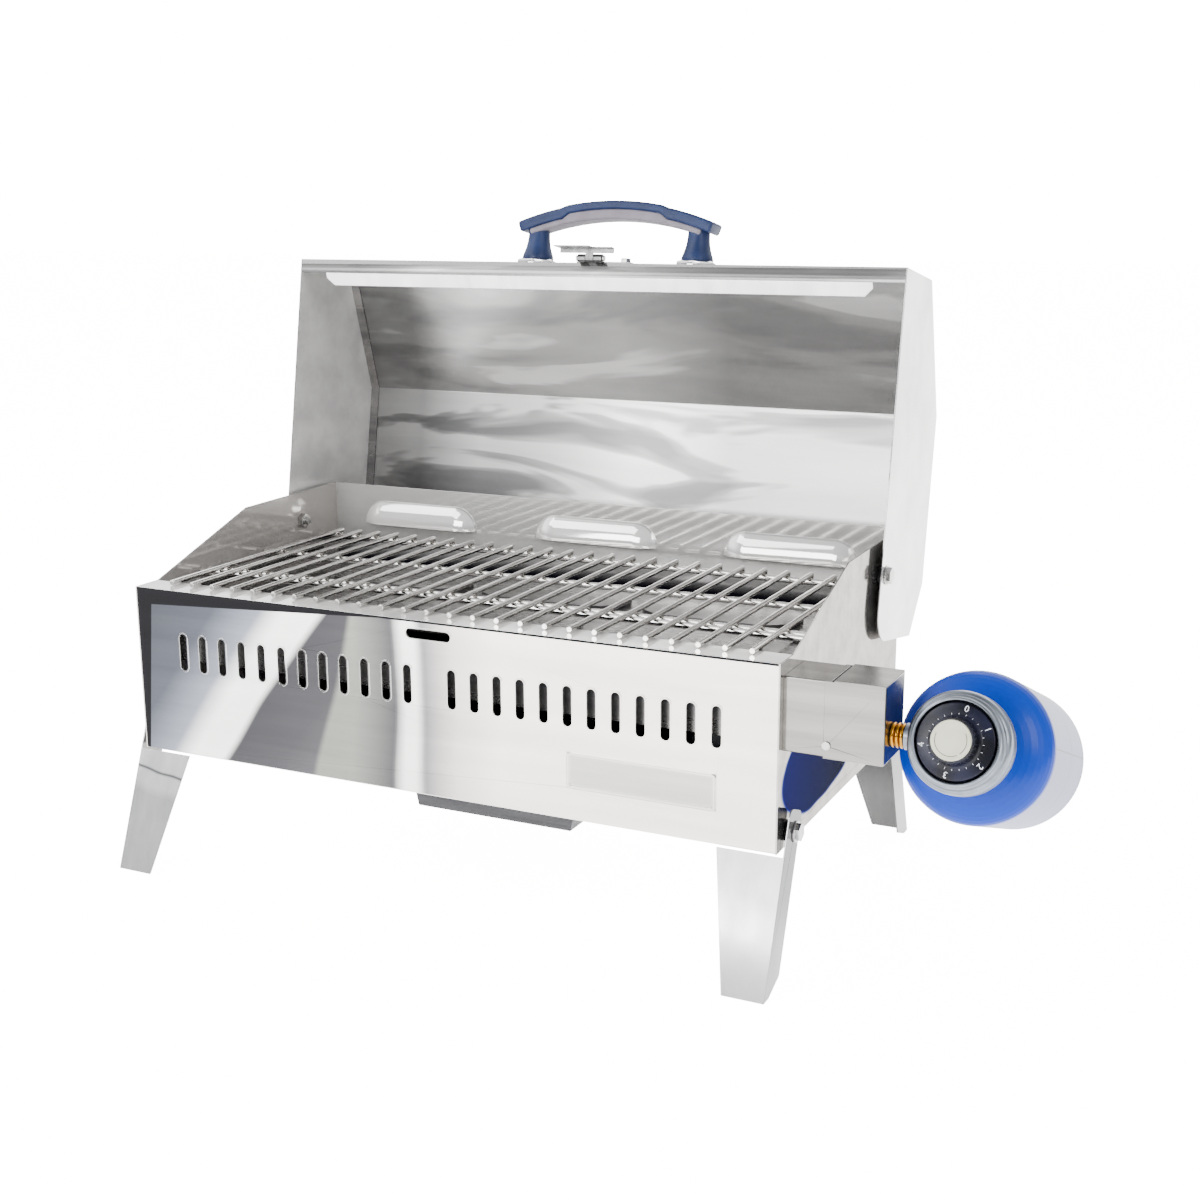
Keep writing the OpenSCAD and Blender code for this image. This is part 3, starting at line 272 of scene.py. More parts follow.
def frontSteel(look):
    # The same sheet with painted reflections in its base colour: a diagonal swirl, an upright streak and dark edges
    # They are laid on by place, so they stay where they are as the view changes
    mat, tree, shader = newMaterial("front sheet with painted reflections", 0.95)
    coords, tone = steelNodes(tree, shader, look["steel"])
    here = addNode(tree, "SeparateXYZ", None, {0: coords.outputs["Object"]})
    panelTall = panelTop - panelLow.z
    place = addNode(tree, "Mapping", {"vector_type": "POINT"}, {
        "Vector": coords.outputs["Object"], "Location": (-panelLow.x / panelWide, 0, -panelLow.z / panelTall),
        "Scale": (1 / panelWide, 1, 1 / panelTall)})
    split = addNode(tree, "SeparateXYZ", None, {0: place.outputs[0]})
    u, v = split.outputs["X"], split.outputs["Z"]
    # painted reflections: a diagonal swirl and an upright streak
    bend = addNode(tree, "TexNoise", None, {"Vector": coords.outputs["Object"], "Scale": 8.0, "Detail": 1.0})
    soft = addNode(tree, "Math", {"operation": "MULTIPLY_ADD"}, {0: bend.outputs["Fac"], 1: 0.05, 2: u})
    lean = addNode(tree, "Math", {"operation": "MULTIPLY"}, {0: v, 1: look["lean"]})
    slant = addNode(tree, "Math", {"operation": "SUBTRACT"}, {0: soft.outputs[0], 1: lean.outputs[0]})
    shift = addNode(tree, "Math", {"operation": "ADD"}, {0: slant.outputs[0], 1: look["lean"]})
    swirl = addNode(tree, "ValToRGB", None, {0: shift.outputs[0]})
    setRamp(swirl.color_ramp, look["swirl"])
    upright = addNode(tree, "ValToRGB", None, {0: soft.outputs[0]})
    setRamp(upright.color_ramp, look["upright"])
    reach = addNode(tree, "Math", {"operation": "MULTIPLY_ADD"}, {0: v, 1: -0.06, 2: soft.outputs[0]})
    side = addNode(tree, "MapRange", eased, {
        0: reach.outputs[0], 1: look["sides"][0], 2: look["sides"][1]})
    pattern = addNode(tree, "Mix", blend, {0: side.outputs[0], 6: swirl.outputs[0], 7: upright.outputs[0]})
    # the dark edge of painted reflection: down the left side and along the top, fading to the right and downwards
    left = addNode(tree, "MapRange", None, {0: v, 1: 0.0, 2: 1.0, 3: 0.008, 4: look["edge"]})
    nearLeft = addNode(tree, "Math", {"operation": "LESS_THAN"}, {0: u, 1: left.outputs[0]})
    top = addNode(tree, "MapRange", None, {0: u, 1: 0.0, 2: 0.42, 3: 0.9, 4: 0.99})
    nearTop = addNode(tree, "Math", {"operation": "GREATER_THAN"}, {0: v, 1: top.outputs[0]})
    edge = addNode(tree, "Math", {"operation": "MAXIMUM"}, {0: nearLeft.outputs[0], 1: nearTop.outputs[0]})
    edged = addNode(tree, "Mix", blend, {0: edge.outputs[0], 6: pattern.outputs[2], 7: linear(look["edgeReflectionDark"])})
    # the plaque: a darker inside, and a white line and a dark line along its pressed border, all painted reflection
    x0, x1, z0, z1 = [mm(value) for value in look["plaque"]]
    middleX, middleZ = (x0 + x1) / 2, (z0 + z1) / 2
    across = addNode(tree, "MapRange", {"clamp": False}, {
        0: here.outputs["X"], 1: middleX - 1, 2: middleX + 1, 3: -1, 4: 1})
    tall = addNode(tree, "MapRange", {"clamp": False}, {
        0: here.outputs["Z"], 1: middleZ - 1, 2: middleZ + 1, 3: -1, 4: 1})
    acrossAway = addNode(tree, "Math", {"operation": "ABSOLUTE"}, {0: across.outputs[0]})
    tallAway = addNode(tree, "Math", {"operation": "ABSOLUTE"}, {0: tall.outputs[0]})
    beyondX = addNode(tree, "Math", {"operation": "SUBTRACT"}, {0: acrossAway.outputs[0], 1: (x1 - x0) / 2})
    beyondZ = addNode(tree, "Math", {"operation": "SUBTRACT"}, {0: tallAway.outputs[0], 1: (z1 - z0) / 2})
    beyond = addNode(tree, "Math", {"operation": "MAXIMUM"}, {0: beyondX.outputs[0], 1: beyondZ.outputs[0]})
    rim = addNode(tree, "MapRange", None, {0: beyond.outputs[0], 1: -mm(4), 2: mm(2)})
    plaque = addNode(tree, "ValToRGB", None, {0: rim.outputs[0]})
    setRamp(plaque.color_ramp, look["plaqueTones"])
    edged = addNode(tree, "Mix", multiply, {0: 1.0, 6: edged.outputs[2], 7: plaque.outputs[0]})
    face = addNode(tree, "NewGeometry")
    turned = addNode(tree, "SeparateXYZ", None, {0: face.outputs["Normal"]})
    ahead = addNode(tree, "Math", {"operation": "LESS_THAN"}, {0: here.outputs["Y"], 1: panelLow.y + mm(0.4)})
    flat = addNode(tree, "Math", {"operation": "LESS_THAN"}, {0: turned.outputs["Y"], 1: -0.9})
    onFront = addNode(tree, "Math", {"operation": "MULTIPLY"}, {0: ahead.outputs[0], 1: flat.outputs[0]})
    shade = addNode(tree, "Mix", multiply, {0: onFront.outputs[0], 6: tone, 7: edged.outputs[2]})
    # behind the front: painted shade on the back panel, which is also less mirror-like, and blue-black painted shade up
    # to the height of the grate
    behind = addNode(tree, "Math", {"operation": "GREATER_THAN"}, {0: here.outputs["Y"], 1: panelLow.y + mm(0.7)})
    proud = addNode(tree, "Math", {"operation": "LESS_THAN"}, {0: here.outputs["Y"], 1: backInner - mm(1.2)})
    aloft = addNode(tree, "Math", {"operation": "GREATER_THAN"}, {0: here.outputs["Z"], 1: grateLow - mm(8)})
    hood = addNode(tree, "Math", {"operation": "MULTIPLY"}, {0: proud.outputs[0], 1: aloft.outputs[0]})
    dim = addNode(tree, "Mix", blend, {0: hood.outputs[0], 6: [look["backShade"]] * 3 + [1], 7: (1, 1, 1, 1)})
    backShaded = addNode(tree, "Mix", multiply, {0: behind.outputs[0], 6: shade.outputs[2], 7: dim.outputs[2]})
    mirror = addNode(tree, "MapRange", None, {0: behind.outputs[0], 3: 0.95, 4: look["backMirror"]})
    tree.links.new(mirror.outputs[0], shader.inputs["Metallic"])
    # painted shade below the grate: blue-black up to its height
    over = addNode(tree, "Math", {"operation": "GREATER_THAN"}, {0: here.outputs["Z"], 1: panelLow.z + mm(0.7)})
    under = addNode(tree, "MapRange", eased, {
        0: here.outputs["Z"], 1: grateLow - mm(22), 2: grateLow - mm(6), 3: 1, 4: 0})
    within = addNode(tree, "Math", {"operation": "MULTIPLY"}, {0: over.outputs[0], 1: under.outputs[0]})
    belowGrateMask = addNode(tree, "Math", {"operation": "MULTIPLY"}, {0: within.outputs[0], 1: behind.outputs[0]})
    belowGrateShaded = addNode(tree, "Mix", multiply, {0: belowGrateMask.outputs[0], 6: backShaded.outputs[2], 7: linear(look["belowGrateShade"])})
    tree.links.new(belowGrateShaded.outputs[2], shader.inputs["Base Color"])
    return mat


panelSet = {
    # blue: colour of the painted reflection of the gas cylinder
    "blue": "#0A3A8C",
    "patch": (0.02, 0.62, 0.06, 0.60),  # where the painted reflection of the cylinder's blue lies, as shares of the panel's depth and height
    "inside": "#B4B0AC",
    "insideMirror": 0.45,
}


def endPanelSteel(look, steel):
    # Mirror sheet hazed by heat inside; low on the right end a painted reflection of the gas cylinder's blue is laid on
    # by place
    mat, tree, shader = newMaterial("mirror polished end panel", 1)
    coords, tone = steelNodes(tree, shader, steel)
    near, low = panelLow.y, panelLow.z
    deep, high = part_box("side_panel_right")[1].y - near, panelTop - low
    place = addNode(tree, "SeparateXYZ", None, {0: coords.outputs["Object"]})
    drift = addNode(tree, "TexNoise", None, {"Vector": coords.outputs["Object"], "Scale": 16.0, "Detail": 1.0})
    wander = addNode(tree, "MapRange", None, {0: drift.outputs["Fac"], 3: -0.05, 4: 0.05})
    along = addNode(tree, "MapRange", {"clamp": False}, {0: place.outputs["Y"], 1: near, 2: near + deep})
    up = addNode(tree, "MapRange", {"clamp": False}, {0: place.outputs["Z"], 1: low, 2: low + high})
    bent = addNode(tree, "Math", {"operation": "ADD"}, {0: up.outputs[0], 1: wander.outputs[0]})
    # an oval of painted reflection of the cylinder's blue
    nearEdge, farEdge, lowEdge, highEdge = look["patch"]
    across = addNode(tree, "MapRange", {"clamp": False}, {0: along.outputs[0], 1: nearEdge, 2: farEdge, 3: -1, 4: 1})
    tall = addNode(tree, "MapRange", {"clamp": False}, {0: bent.outputs[0], 1: lowEdge, 2: highEdge, 3: -1, 4: 1})
    oval = addNode(tree, "CombineXYZ", None, {0: across.outputs[0], 1: tall.outputs[0]})
    reach = addNode(tree, "VectorMath", {"operation": "LENGTH"}, {0: oval.outputs[0]})
    blue = addNode(tree, "MapRange", eased, {0: reach.outputs["Value"], 1: 0.93, 2: 1.02, 3: 1, 4: 0})
    facing = addNode(tree, "SeparateXYZ", None, {0: addNode(tree, "NewGeometry").outputs["Normal"]})
    rightOut = addNode(tree, "Math", {"operation": "GREATER_THAN"}, {0: facing.outputs["X"], 1: 0.5})
    rightEnd = addNode(tree, "Math", {"operation": "GREATER_THAN"}, {0: place.outputs["X"], 1: panelHigh.x - mm(0.6)})
    outer = addNode(tree, "Math", {"operation": "MULTIPLY"}, {0: rightOut.outputs[0], 1: rightEnd.outputs[0]})
    paintedBlueReflection = addNode(tree, "Math", {"operation": "MULTIPLY"}, {0: outer.outputs[0], 1: blue.outputs[0]})
    tinted = addNode(tree, "Mix", blend, {0: paintedBlueReflection.outputs[0], 6: tone, 7: linear(look["blue"])})
    fromMiddle = addNode(tree, "Math", {"operation": "SUBTRACT"}, {0: place.outputs["X"], 1: panelMiddle})
    outward = addNode(tree, "Math", {"operation": "MULTIPLY"}, {0: fromMiddle.outputs[0], 1: facing.outputs["X"]})
    inside = addNode(tree, "Math", {"operation": "LESS_THAN"}, {0: outward.outputs[0], 1: -0.05})
    hazed = addNode(tree, "Mix", blend, {0: inside.outputs[0], 6: tinted.outputs[2], 7: linear(look["inside"])})
    tree.links.new(hazed.outputs[2], shader.inputs["Base Color"])
    # the painted reflection also turns the grazing tint deep blue
    graze = addNode(tree, "Mix", blend, {0: paintedBlueReflection.outputs[0], 6: linear("#D0CECC"), 7: linear("#04122E")})
    tree.links.new(graze.outputs[2], shader.inputs["Specular Tint"])
    scatter = addNode(tree, "MapRange", None, {0: inside.outputs[0], 3: 0.95, 4: look["insideMirror"]})
    tree.links.new(scatter.outputs[0], shader.inputs["Metallic"])
    return mat


legSet = {
    # band: painted reflection by height up the legs
    "band": [(0.0, "#D8D8D8"), (0.07, "#FFFFFF"), (0.155, "#FFFFFF"), (0.17, "#4A4A4C"), (0.185, "#FFFFFF"),
             (0.55, "#FFFFFF"), (0.8, "#B4B4B6"), (1.0, "#A4A4A6")],
    "heights": (10, 112),  # the band's lower and upper ends
    "tilt": 0.16,
    "wander": 10,
    # side and rear: painted shade on sideways faces and on the rear legs' front faces
    "side": 0.32,
    "rear": 0.12,
    "mirror": 0.6,
}


def legSteel(look, steel):
    # Mirror sheet on the splayed legs with painted reflection: bright low down, one thin dark line, greyer above, all
    # laid on by place; sideways faces and the rear legs' fronts get painted shade
    mat, tree, shader = newMaterial("leg sheet with painted reflection and shade", look["mirror"])
    coords, tone = steelNodes(tree, shader, steel)
    place = addNode(tree, "SeparateXYZ", None, {0: coords.outputs["Object"]})
    slope = addNode(tree, "Math", {"operation": "MULTIPLY_ADD"}, {
        0: place.outputs["X"], 1: look["tilt"], 2: place.outputs["Z"]})
    drift = addNode(tree, "TexNoise", None, {"Vector": coords.outputs["Object"], "Scale": 22.0, "Detail": 1.0})
    bent = addNode(tree, "Math", {"operation": "MULTIPLY_ADD"}, {
        0: drift.outputs["Fac"], 1: mm(look["wander"]), 2: slope.outputs[0]})
    height = addNode(tree, "MapRange", None, {
        0: bent.outputs[0], 1: mm(look["heights"][0]), 2: mm(look["heights"][1])})
    band = addNode(tree, "ValToRGB", None, {0: height.outputs[0]})
    setRamp(band.color_ramp, look["band"])
    banded = addNode(tree, "Mix", multiply, {0: 1.0, 6: tone, 7: band.outputs[0]})
    # painted shade on faces that turn sideways
    facing = addNode(tree, "SeparateXYZ", None, {0: addNode(tree, "NewGeometry").outputs["Normal"]})
    sideways = addNode(tree, "Math", {"operation": "GREATER_THAN"}, {0: facing.outputs["X"], 1: 0.6})
    sided = addNode(tree, "Mix", multiply, {
        0: sideways.outputs[0], 6: banded.outputs[2], 7: [look["side"]] * 3 + [1]})
    # painted shade on the rear legs' front faces
    behind = addNode(tree, "Math", {"operation": "GREATER_THAN"}, {0: place.outputs["Y"], 1: 0.0})
    front = addNode(tree, "Math", {"operation": "LESS_THAN"}, {0: facing.outputs["Y"], 1: -0.4})
    dim = addNode(tree, "Math", {"operation": "MULTIPLY"}, {0: behind.outputs[0], 1: front.outputs[0]})
    rear = addNode(tree, "Mix", multiply, {0: dim.outputs[0], 6: sided.outputs[2], 7: [look["rear"]] * 3 + [1]})
    tree.links.new(rear.outputs[2], shader.inputs["Base Color"])
    return mat


lidSet = {
    # across: painted shade over the lid's width, darkest near the left end
    "across": [(0.0, "#9A9A9A"), (0.10, "#9A9A9A"), (0.22, "#FFFFFF"), (0.5, "#FFFFFF"), (0.68, "#BEBEBE"),
               (1.0, "#CCCCCC")],
    "crease": 328,  # height of the fold between the two inner faces
    "stretch": (5, 12, 26),
    "lean": 6,
    # lower and upper: tones of painted reflection and shade on the two inner faces
    "lower": [(0.0, "#6C6C6E"), (0.38, "#8F8F91"), (0.45, "#BDBDBD"), (0.49, "#FFFFFF"), (1.0, "#FFFFFF")],
    "upper": [(0.0, "#7C7C7E"), (0.40, "#9C9C9D"), (0.5, "#B8B8B8"), (0.6, "#C0C0C0"), (0.66, "#F0F0F0")],
    "insideMirror": 0.45,
    "insideRough": 0.2,
    "steel": {"tone": "#E6E5E3", "dull": "#C9C8C7", "rough": 0.10, "wave": 0.25, "grain": (2.5, 26, 26)},
}


def lidSteel(look):
    # The lid's sheet: mirror outside; inside less mirror-like and rougher so it scatters some light, with drawn-out
    # patches of painted reflection and shade, and painted shade towards its ends
    mat, tree, shader = newMaterial("hazed lid sheet with painted reflection", 1)
    coords, tone = steelNodes(tree, shader, look["steel"])
    split = addNode(tree, "SeparateXYZ", None, {0: coords.outputs["Object"]})
    stretch = addNode(tree, "Mapping", None, {
        "Vector": coords.outputs["Object"], "Scale": look["stretch"], "Rotation": (0, math.radians(look["lean"]), 0)})
    cloud = addNode(tree, "TexNoise", None, {
        "Vector": stretch.outputs[0], "Scale": 1.0, "Detail": 3.0, "Distortion": 0.8})
    patch = addNode(tree, "ValToRGB", None, {0: cloud.outputs["Fac"]})
    setRamp(patch.color_ramp, look["lower"])
    upper = addNode(tree, "ValToRGB", None, {0: cloud.outputs["Fac"]})
    setRamp(upper.color_ramp, look["upper"])
    above = addNode(tree, "Math", {"operation": "GREATER_THAN"}, {0: split.outputs["Z"], 1: mm(look["crease"])})
    # the two inner faces' patches of painted reflection and shade
    haze = addNode(tree, "Mix", blend, {0: above.outputs[0], 6: patch.outputs[0], 7: upper.outputs[0]})
    # painted shade across the width, darkest near the left end
    wide = addNode(tree, "MapRange", None, {0: split.outputs["X"], 1: panelLow.x, 2: panelHigh.x})
    across = addNode(tree, "ValToRGB", None, {0: wide.outputs[0]})
    setRamp(across.color_ramp, look["across"])
    broad = addNode(tree, "Mix", multiply, {0: 1.0, 6: haze.outputs[2], 7: across.outputs[0]})
    turned = addNode(tree, "SeparateXYZ", None, {0: addNode(tree, "NewGeometry").outputs["Normal"]})
    inward = addNode(tree, "Math", {"operation": "LESS_THAN"}, {0: turned.outputs["Y"], 1: -0.5})
    shade = addNode(tree, "Mix", multiply, {0: inward.outputs[0], 6: tone, 7: broad.outputs[2]})
    tree.links.new(shade.outputs[2], shader.inputs["Base Color"])
    # the insides of the two end caps face the lid's middle
    fromMiddle = addNode(tree, "Math", {"operation": "SUBTRACT"}, {0: split.outputs["X"], 1: panelMiddle})
    outward = addNode(tree, "Math", {"operation": "MULTIPLY"}, {0: fromMiddle.outputs[0], 1: turned.outputs["X"]})
    endInside = addNode(tree, "Math", {"operation": "LESS_THAN"}, {0: outward.outputs[0], 1: -0.1})
    inside = addNode(tree, "Math", {"operation": "MAXIMUM"}, {0: inward.outputs[0], 1: endInside.outputs[0]})
    rough = addNode(tree, "MapRange", None, {0: inside.outputs[0], 3: look["steel"]["rough"], 4: look["insideRough"]})
    tree.links.new(rough.outputs[0], shader.inputs["Roughness"])
    mirror = addNode(tree, "MapRange", None, {0: inside.outputs[0], 3: 0.95, 4: look["insideMirror"]})
    tree.links.new(mirror.outputs[0], shader.inputs["Metallic"])
    return mat


def brightMetal(name, tone, dark, rough, grain):
    # Turned or pressed metal parts: tool marks a few tenths of a millimetre apart and duller patches
    mat, tree, shader = newMaterial(name, 1)
    coords = addNode(tree, "TexCoord")
    patch = addNode(tree, "TexNoise", None, {"Vector": coords.outputs["Object"], "Scale": 150.0, "Detail": 3.0})
    colour = addNode(tree, "Mix", blend, {0: patch.outputs["Fac"], 6: linear(tone), 7: linear(dark)})
    tree.links.new(colour.outputs[2], shader.inputs["Base Color"])
    marks = addNode(tree, "TexNoise", None, {"Vector": coords.outputs["Object"], "Scale": grain, "Detail": 2.0})
    haze = addNode(tree, "MapRange", None, {0: patch.outputs["Fac"], 3: rough * 0.7, 4: rough * 1.4})
    tree.links.new(haze.outputs[0], shader.inputs["Roughness"])
    bump = addNode(tree, "Bump", None, {"Height": marks.outputs["Fac"], "Distance": mm(0.05), "Strength": 0.4})
    tree.links.new(bump.outputs[0], shader.inputs["Normal"])
    return mat


def mouldedPlastic(name, tone, worn, rough, grain):
    # Injection-moulded plastic: a fine spark-eroded grain and slightly rubbed high spots
    mat, tree, shader = newMaterial(name)
    coords = addNode(tree, "TexCoord")
    rub = addNode(tree, "TexNoise", None, {"Vector": coords.outputs["Object"], "Scale": 60.0, "Detail": 4.0})
    spread = addNode(tree, "MapRange", None, {0: rub.outputs["Fac"], 1: 0.4, 2: 0.75})
    colour = addNode(tree, "Mix", blend, {0: spread.outputs[0], 6: linear(tone), 7: linear(worn)})
    tree.links.new(colour.outputs[2], shader.inputs["Base Color"])
    haze = addNode(tree, "MapRange", None, {0: rub.outputs["Fac"], 3: rough * 0.8, 4: rough * 1.2})
    tree.links.new(haze.outputs[0], shader.inputs["Roughness"])
    skin = addNode(tree, "TexNoise", None, {"Vector": coords.outputs["Object"], "Scale": grain, "Detail": 2.0})
    bump = addNode(tree, "Bump", None, {"Height": skin.outputs["Fac"], "Distance": mm(0.05), "Strength": 0.35})
    tree.links.new(bump.outputs[0], shader.inputs["Normal"])
    shader.inputs["Specular IOR Level"].default_value = 0.22
    return mat


sleeveSet = {
    "tone": "#60668F",
    "deep": "#4E557F",
    "line": "#2B2F45",
    "lineAt": 104,
    "lineWide": 0.7,
    "seamDrop": -6,
    "seamWide": 0.6,
}


def sleeveShrink(look):
    # Shrink film round the cylinder: milky lavender gloss, one fine printed ring and the seam where the film overlaps
    mat, tree, shader = newMaterial("milky shrink film", 0, 0.28)
    coords = addNode(tree, "TexCoord")
    cloud = addNode(tree, "TexNoise", None, {"Vector": coords.outputs["Object"], "Scale": 14.0, "Detail": 2.0})
    colour = addNode(tree, "Mix", blend, {0: cloud.outputs["Fac"], 6: linear(look["tone"]), 7: linear(look["deep"])})
    back, down = regulatorPlace.to_3x3().col[2], regulatorPlace.to_3x3().col[1]
    local = addNode(tree, "VectorMath", {"operation": "SUBTRACT"}, {
        0: coords.outputs["Object"], 1: regulatorPlace.translation})
    along = addNode(tree, "VectorMath", {"operation": "DOT_PRODUCT"}, {0: local.outputs[0], 1: back})
    drop = addNode(tree, "VectorMath", {"operation": "DOT_PRODUCT"}, {0: local.outputs[0], 1: down})
    ring = addNode(tree, "Math", {"operation": "COMPARE"}, {
        0: along.outputs["Value"], 1: mm(look["lineAt"]), 2: mm(look["lineWide"])})
    seam = addNode(tree, "Math", {"operation": "COMPARE"}, {
        0: drop.outputs["Value"], 1: mm(look["seamDrop"]), 2: mm(look["seamWide"])})
    lines = addNode(tree, "Math", {"operation": "MAXIMUM"}, {0: ring.outputs[0], 1: seam.outputs[0]})
    lined = addNode(tree, "Mix", blend, {0: lines.outputs[0], 6: colour.outputs[2], 7: linear(look["line"])})
    tree.links.new(lined.outputs[2], shader.inputs["Base Color"])
    shader.inputs["Specular IOR Level"].default_value = 0.12
    return mat


def glossCoat(name, tone, deep, rough, coat):
    # Sprayed enamel or film: a flat colour under a clear gloss with faint orange peel
    mat, tree, shader = newMaterial(name, 0, rough)
    coords = addNode(tree, "TexCoord")
    cloud = addNode(tree, "TexNoise", None, {"Vector": coords.outputs["Object"], "Scale": 14.0, "Detail": 2.0})
    colour = addNode(tree, "Mix", blend, {0: cloud.outputs["Fac"], 6: linear(tone), 7: linear(deep)})
    tree.links.new(colour.outputs[2], shader.inputs["Base Color"])
    peel = addNode(tree, "TexNoise", None, {"Vector": coords.outputs["Object"], "Scale": 500.0, "Detail": 1.0})
    bump = addNode(tree, "Bump", None, {"Height": peel.outputs["Fac"], "Distance": mm(0.02), "Strength": 0.2})
    tree.links.new(bump.outputs[0], shader.inputs["Normal"])
    shader.inputs["Specular IOR Level"].default_value = 0.15
    shader.inputs["Coat Weight"].default_value = coat
    shader.inputs["Coat Roughness"].default_value = 0.05
    return mat


steelInner = polishedSteel("rough inner sheet in painted shade", steelLooks["inner"])
steelLeg = legSteel(legSet, steelLooks["leg"])
steelPanel = endPanelSteel(panelSet, steelLooks["sheet"])
steelBright = polishedSteel("bright rolled edge sheet", steelLooks["leg"])
steelTunnel = polishedSteel("brushed tunnel sheet", steelLooks["tunnel"])
steelSatin = polishedSteel("satin pressed steel in painted shade", steelLooks["satin"])
steelFront = frontSteel(frontSet)
steelLid = lidSteel(lidSet)
rodBright = brightMetal("electropolished grate rod", "#F4F2EF", "#B4B2AE", 0.12, 900)
boltBright = brightMetal("bright zinc hardware", "#D0CFCD", "#8C8B8A", 0.2, 1200)
chromeBright = brightMetal("chrome plated base", "#E6E6E6", "#C4C4C6", 0.06, 300)
brassTurned = brightMetal("turned brass", "#C98F2B", "#8A5A16", 0.18, 1500)
alloyCast = brightMetal("satin die cast alloy", "#848A92", "#5F656E", 0.3, 700)
latchSteel = brightMetal("pressed latch steel", "#8C8C8C", "#4A4A4A", 0.22, 900)
nylonBlue = mouldedPlastic("blue glass filled nylon", "#14203F", "#1B2A4E", 0.42, 1400)
gripGrey = mouldedPlastic("soft lavender grip rubber", "#68636B", "#77727C", 0.6, 1600)
nylonBlack = mouldedPlastic("black nylon spacer", "#050506", "#121214", 0.4, 1200)
dialBlack = mouldedPlastic("moulded phenolic dial", "#06070F", "#12142A", 0.3, 1500)
discIvory = mouldedPlastic("ivory acetal disc", "#BDBDA8", "#A9A994", 0.4, 900)
printWhite = mouldedPlastic("white pad print", "#D8DAE0", "#B9BCC6", 0.5, 1500)
blueEnamel = glossCoat("blue baked enamel", "#00309A", "#002A8C", 0.3, 0.04)
sleeveFilm = sleeveShrink(sleeveSet)
darkEnamel = glossCoat("dark enamel rim", "#0B0C1A", "#14162A", 0.4, 0.0)

nodeLooks = {
    steelFront: ["firebox_shell"],
    steelPanel: ["side_panel_left", "side_panel_right"],
    steelBright: ["lid_lip"],
    steelTunnel: ["tunnel_housing", "tunnel_cover"],
    steelLid: ["lid_shell", "lid_cap_left", "lid_cap_right"],
    steelInner: ["support_ledges", "front_baffle", "radiant_plate", "lid_corner_flanges"],
    steelLeg: ["leg_front_left", "leg_front_right", "leg_rear_left", "leg_rear_right"],
    steelSatin: ["tray_rails", "grease_tray", "burner_tube", "burner_bracket", "venturi_mouth"],
    rodBright: ["grate_rods", "grate_cross_rods"],
    boltBright: ["hinge_bolts", "hinge_nuts", "leg_bolts", "leg_nuts", "tunnel_screws", "handle_screws",
                 "latch_bolt", "latch_pin"],
    chromeBright: ["handle_bases"],
    brassTurned: ["gas_fitting", "control_spindle", "cylinder_valve"],
    alloyCast: ["regulator_body", "regulator_bezel", "cylinder_socket"],
    latchSteel: ["latch_leaf", "latch_hook"],
    nylonBlue: ["handle_bar", "handle_posts"],
    gripGrey: ["handle_insert"],
    nylonBlack: ["hinge_spacers", "leg_spacers"],
    dialBlack: ["control_dial"],
    discIvory: ["dial_disc"],
    blueEnamel: ["cylinder_shell"],
    sleeveFilm: ["cylinder_sleeve"],
    darkEnamel: ["cylinder_base_ring"],
}
for look, names in nodeLooks.items():
    for name in names:
        frame["nodes"][name].data.materials.clear()
        frame["nodes"][name].data.materials.append(look)
print("materials made")

bodyOf = {node: body for body, nodes in frame["record"]["behaviour"]["bodies"].items() for node in nodes}


def choose(*pieces):
    bpy.ops.object.select_all(action="DESELECT")
    for piece in pieces:
        piece.select_set(True)
    bpy.context.view_layer.objects.active = pieces[0]


def openEdit(piece):
    choose(piece)
    bpy.ops.object.mode_set(mode="EDIT")


def closeEdit():
    bpy.ops.object.mode_set(mode="OBJECT")


def runModifier(piece, kind, **settings):
    bpy.context.view_layer.objects.active = piece
    made = piece.modifiers.new(kind.lower(), kind)
    for key, value in settings.items():
        setattr(made, key, value)
    bpy.ops.object.modifier_apply(modifier=made.name)


def settle(piece, place):
    # Moves a piece from its own bench to its place, leaving the object at the origin
    choose(piece)
    piece.matrix_world = place
    bpy.ops.object.transform_apply(location=True, rotation=True, scale=True)


def smooth(piece, angle=32):
    choose(piece)
    bpy.ops.object.shade_smooth_by_angle(angle=math.radians(angle))


def handOver(piece, look, nodes, body=None):
    # Gives a finished piece its material, its body and the parts that it stands for
    piece.data.materials.clear()
    piece.data.materials.append(look)
    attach(piece, body or bodyOf[nodes[0]])
    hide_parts(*nodes)


def cleanCopy(name, node):
    # A copy of the part's mesh with its loose triangles merged, left open in edit mode
    piece = bpy.data.objects.new(name, frame["nodes"][node].data.copy())
    bpy.context.scene.collection.objects.link(piece)
    openEdit(piece)
    bpy.ops.mesh.select_all(action="SELECT")
    bpy.ops.mesh.remove_doubles(threshold=mm(0.01))
    bpy.ops.mesh.dissolve_limited(angle_limit=math.radians(0.6))
    return piece


sheetSet = {
    "bend": 1.5,  # outer radius of a fold
    "inner": 0.34,  # share of it that an inside corner gets
    "rim": 0.14,  # and a cut edge
    "wide": 3.0,  # a face narrower than this is a cut edge
    "long": 20,
    "sharp": 12,
}


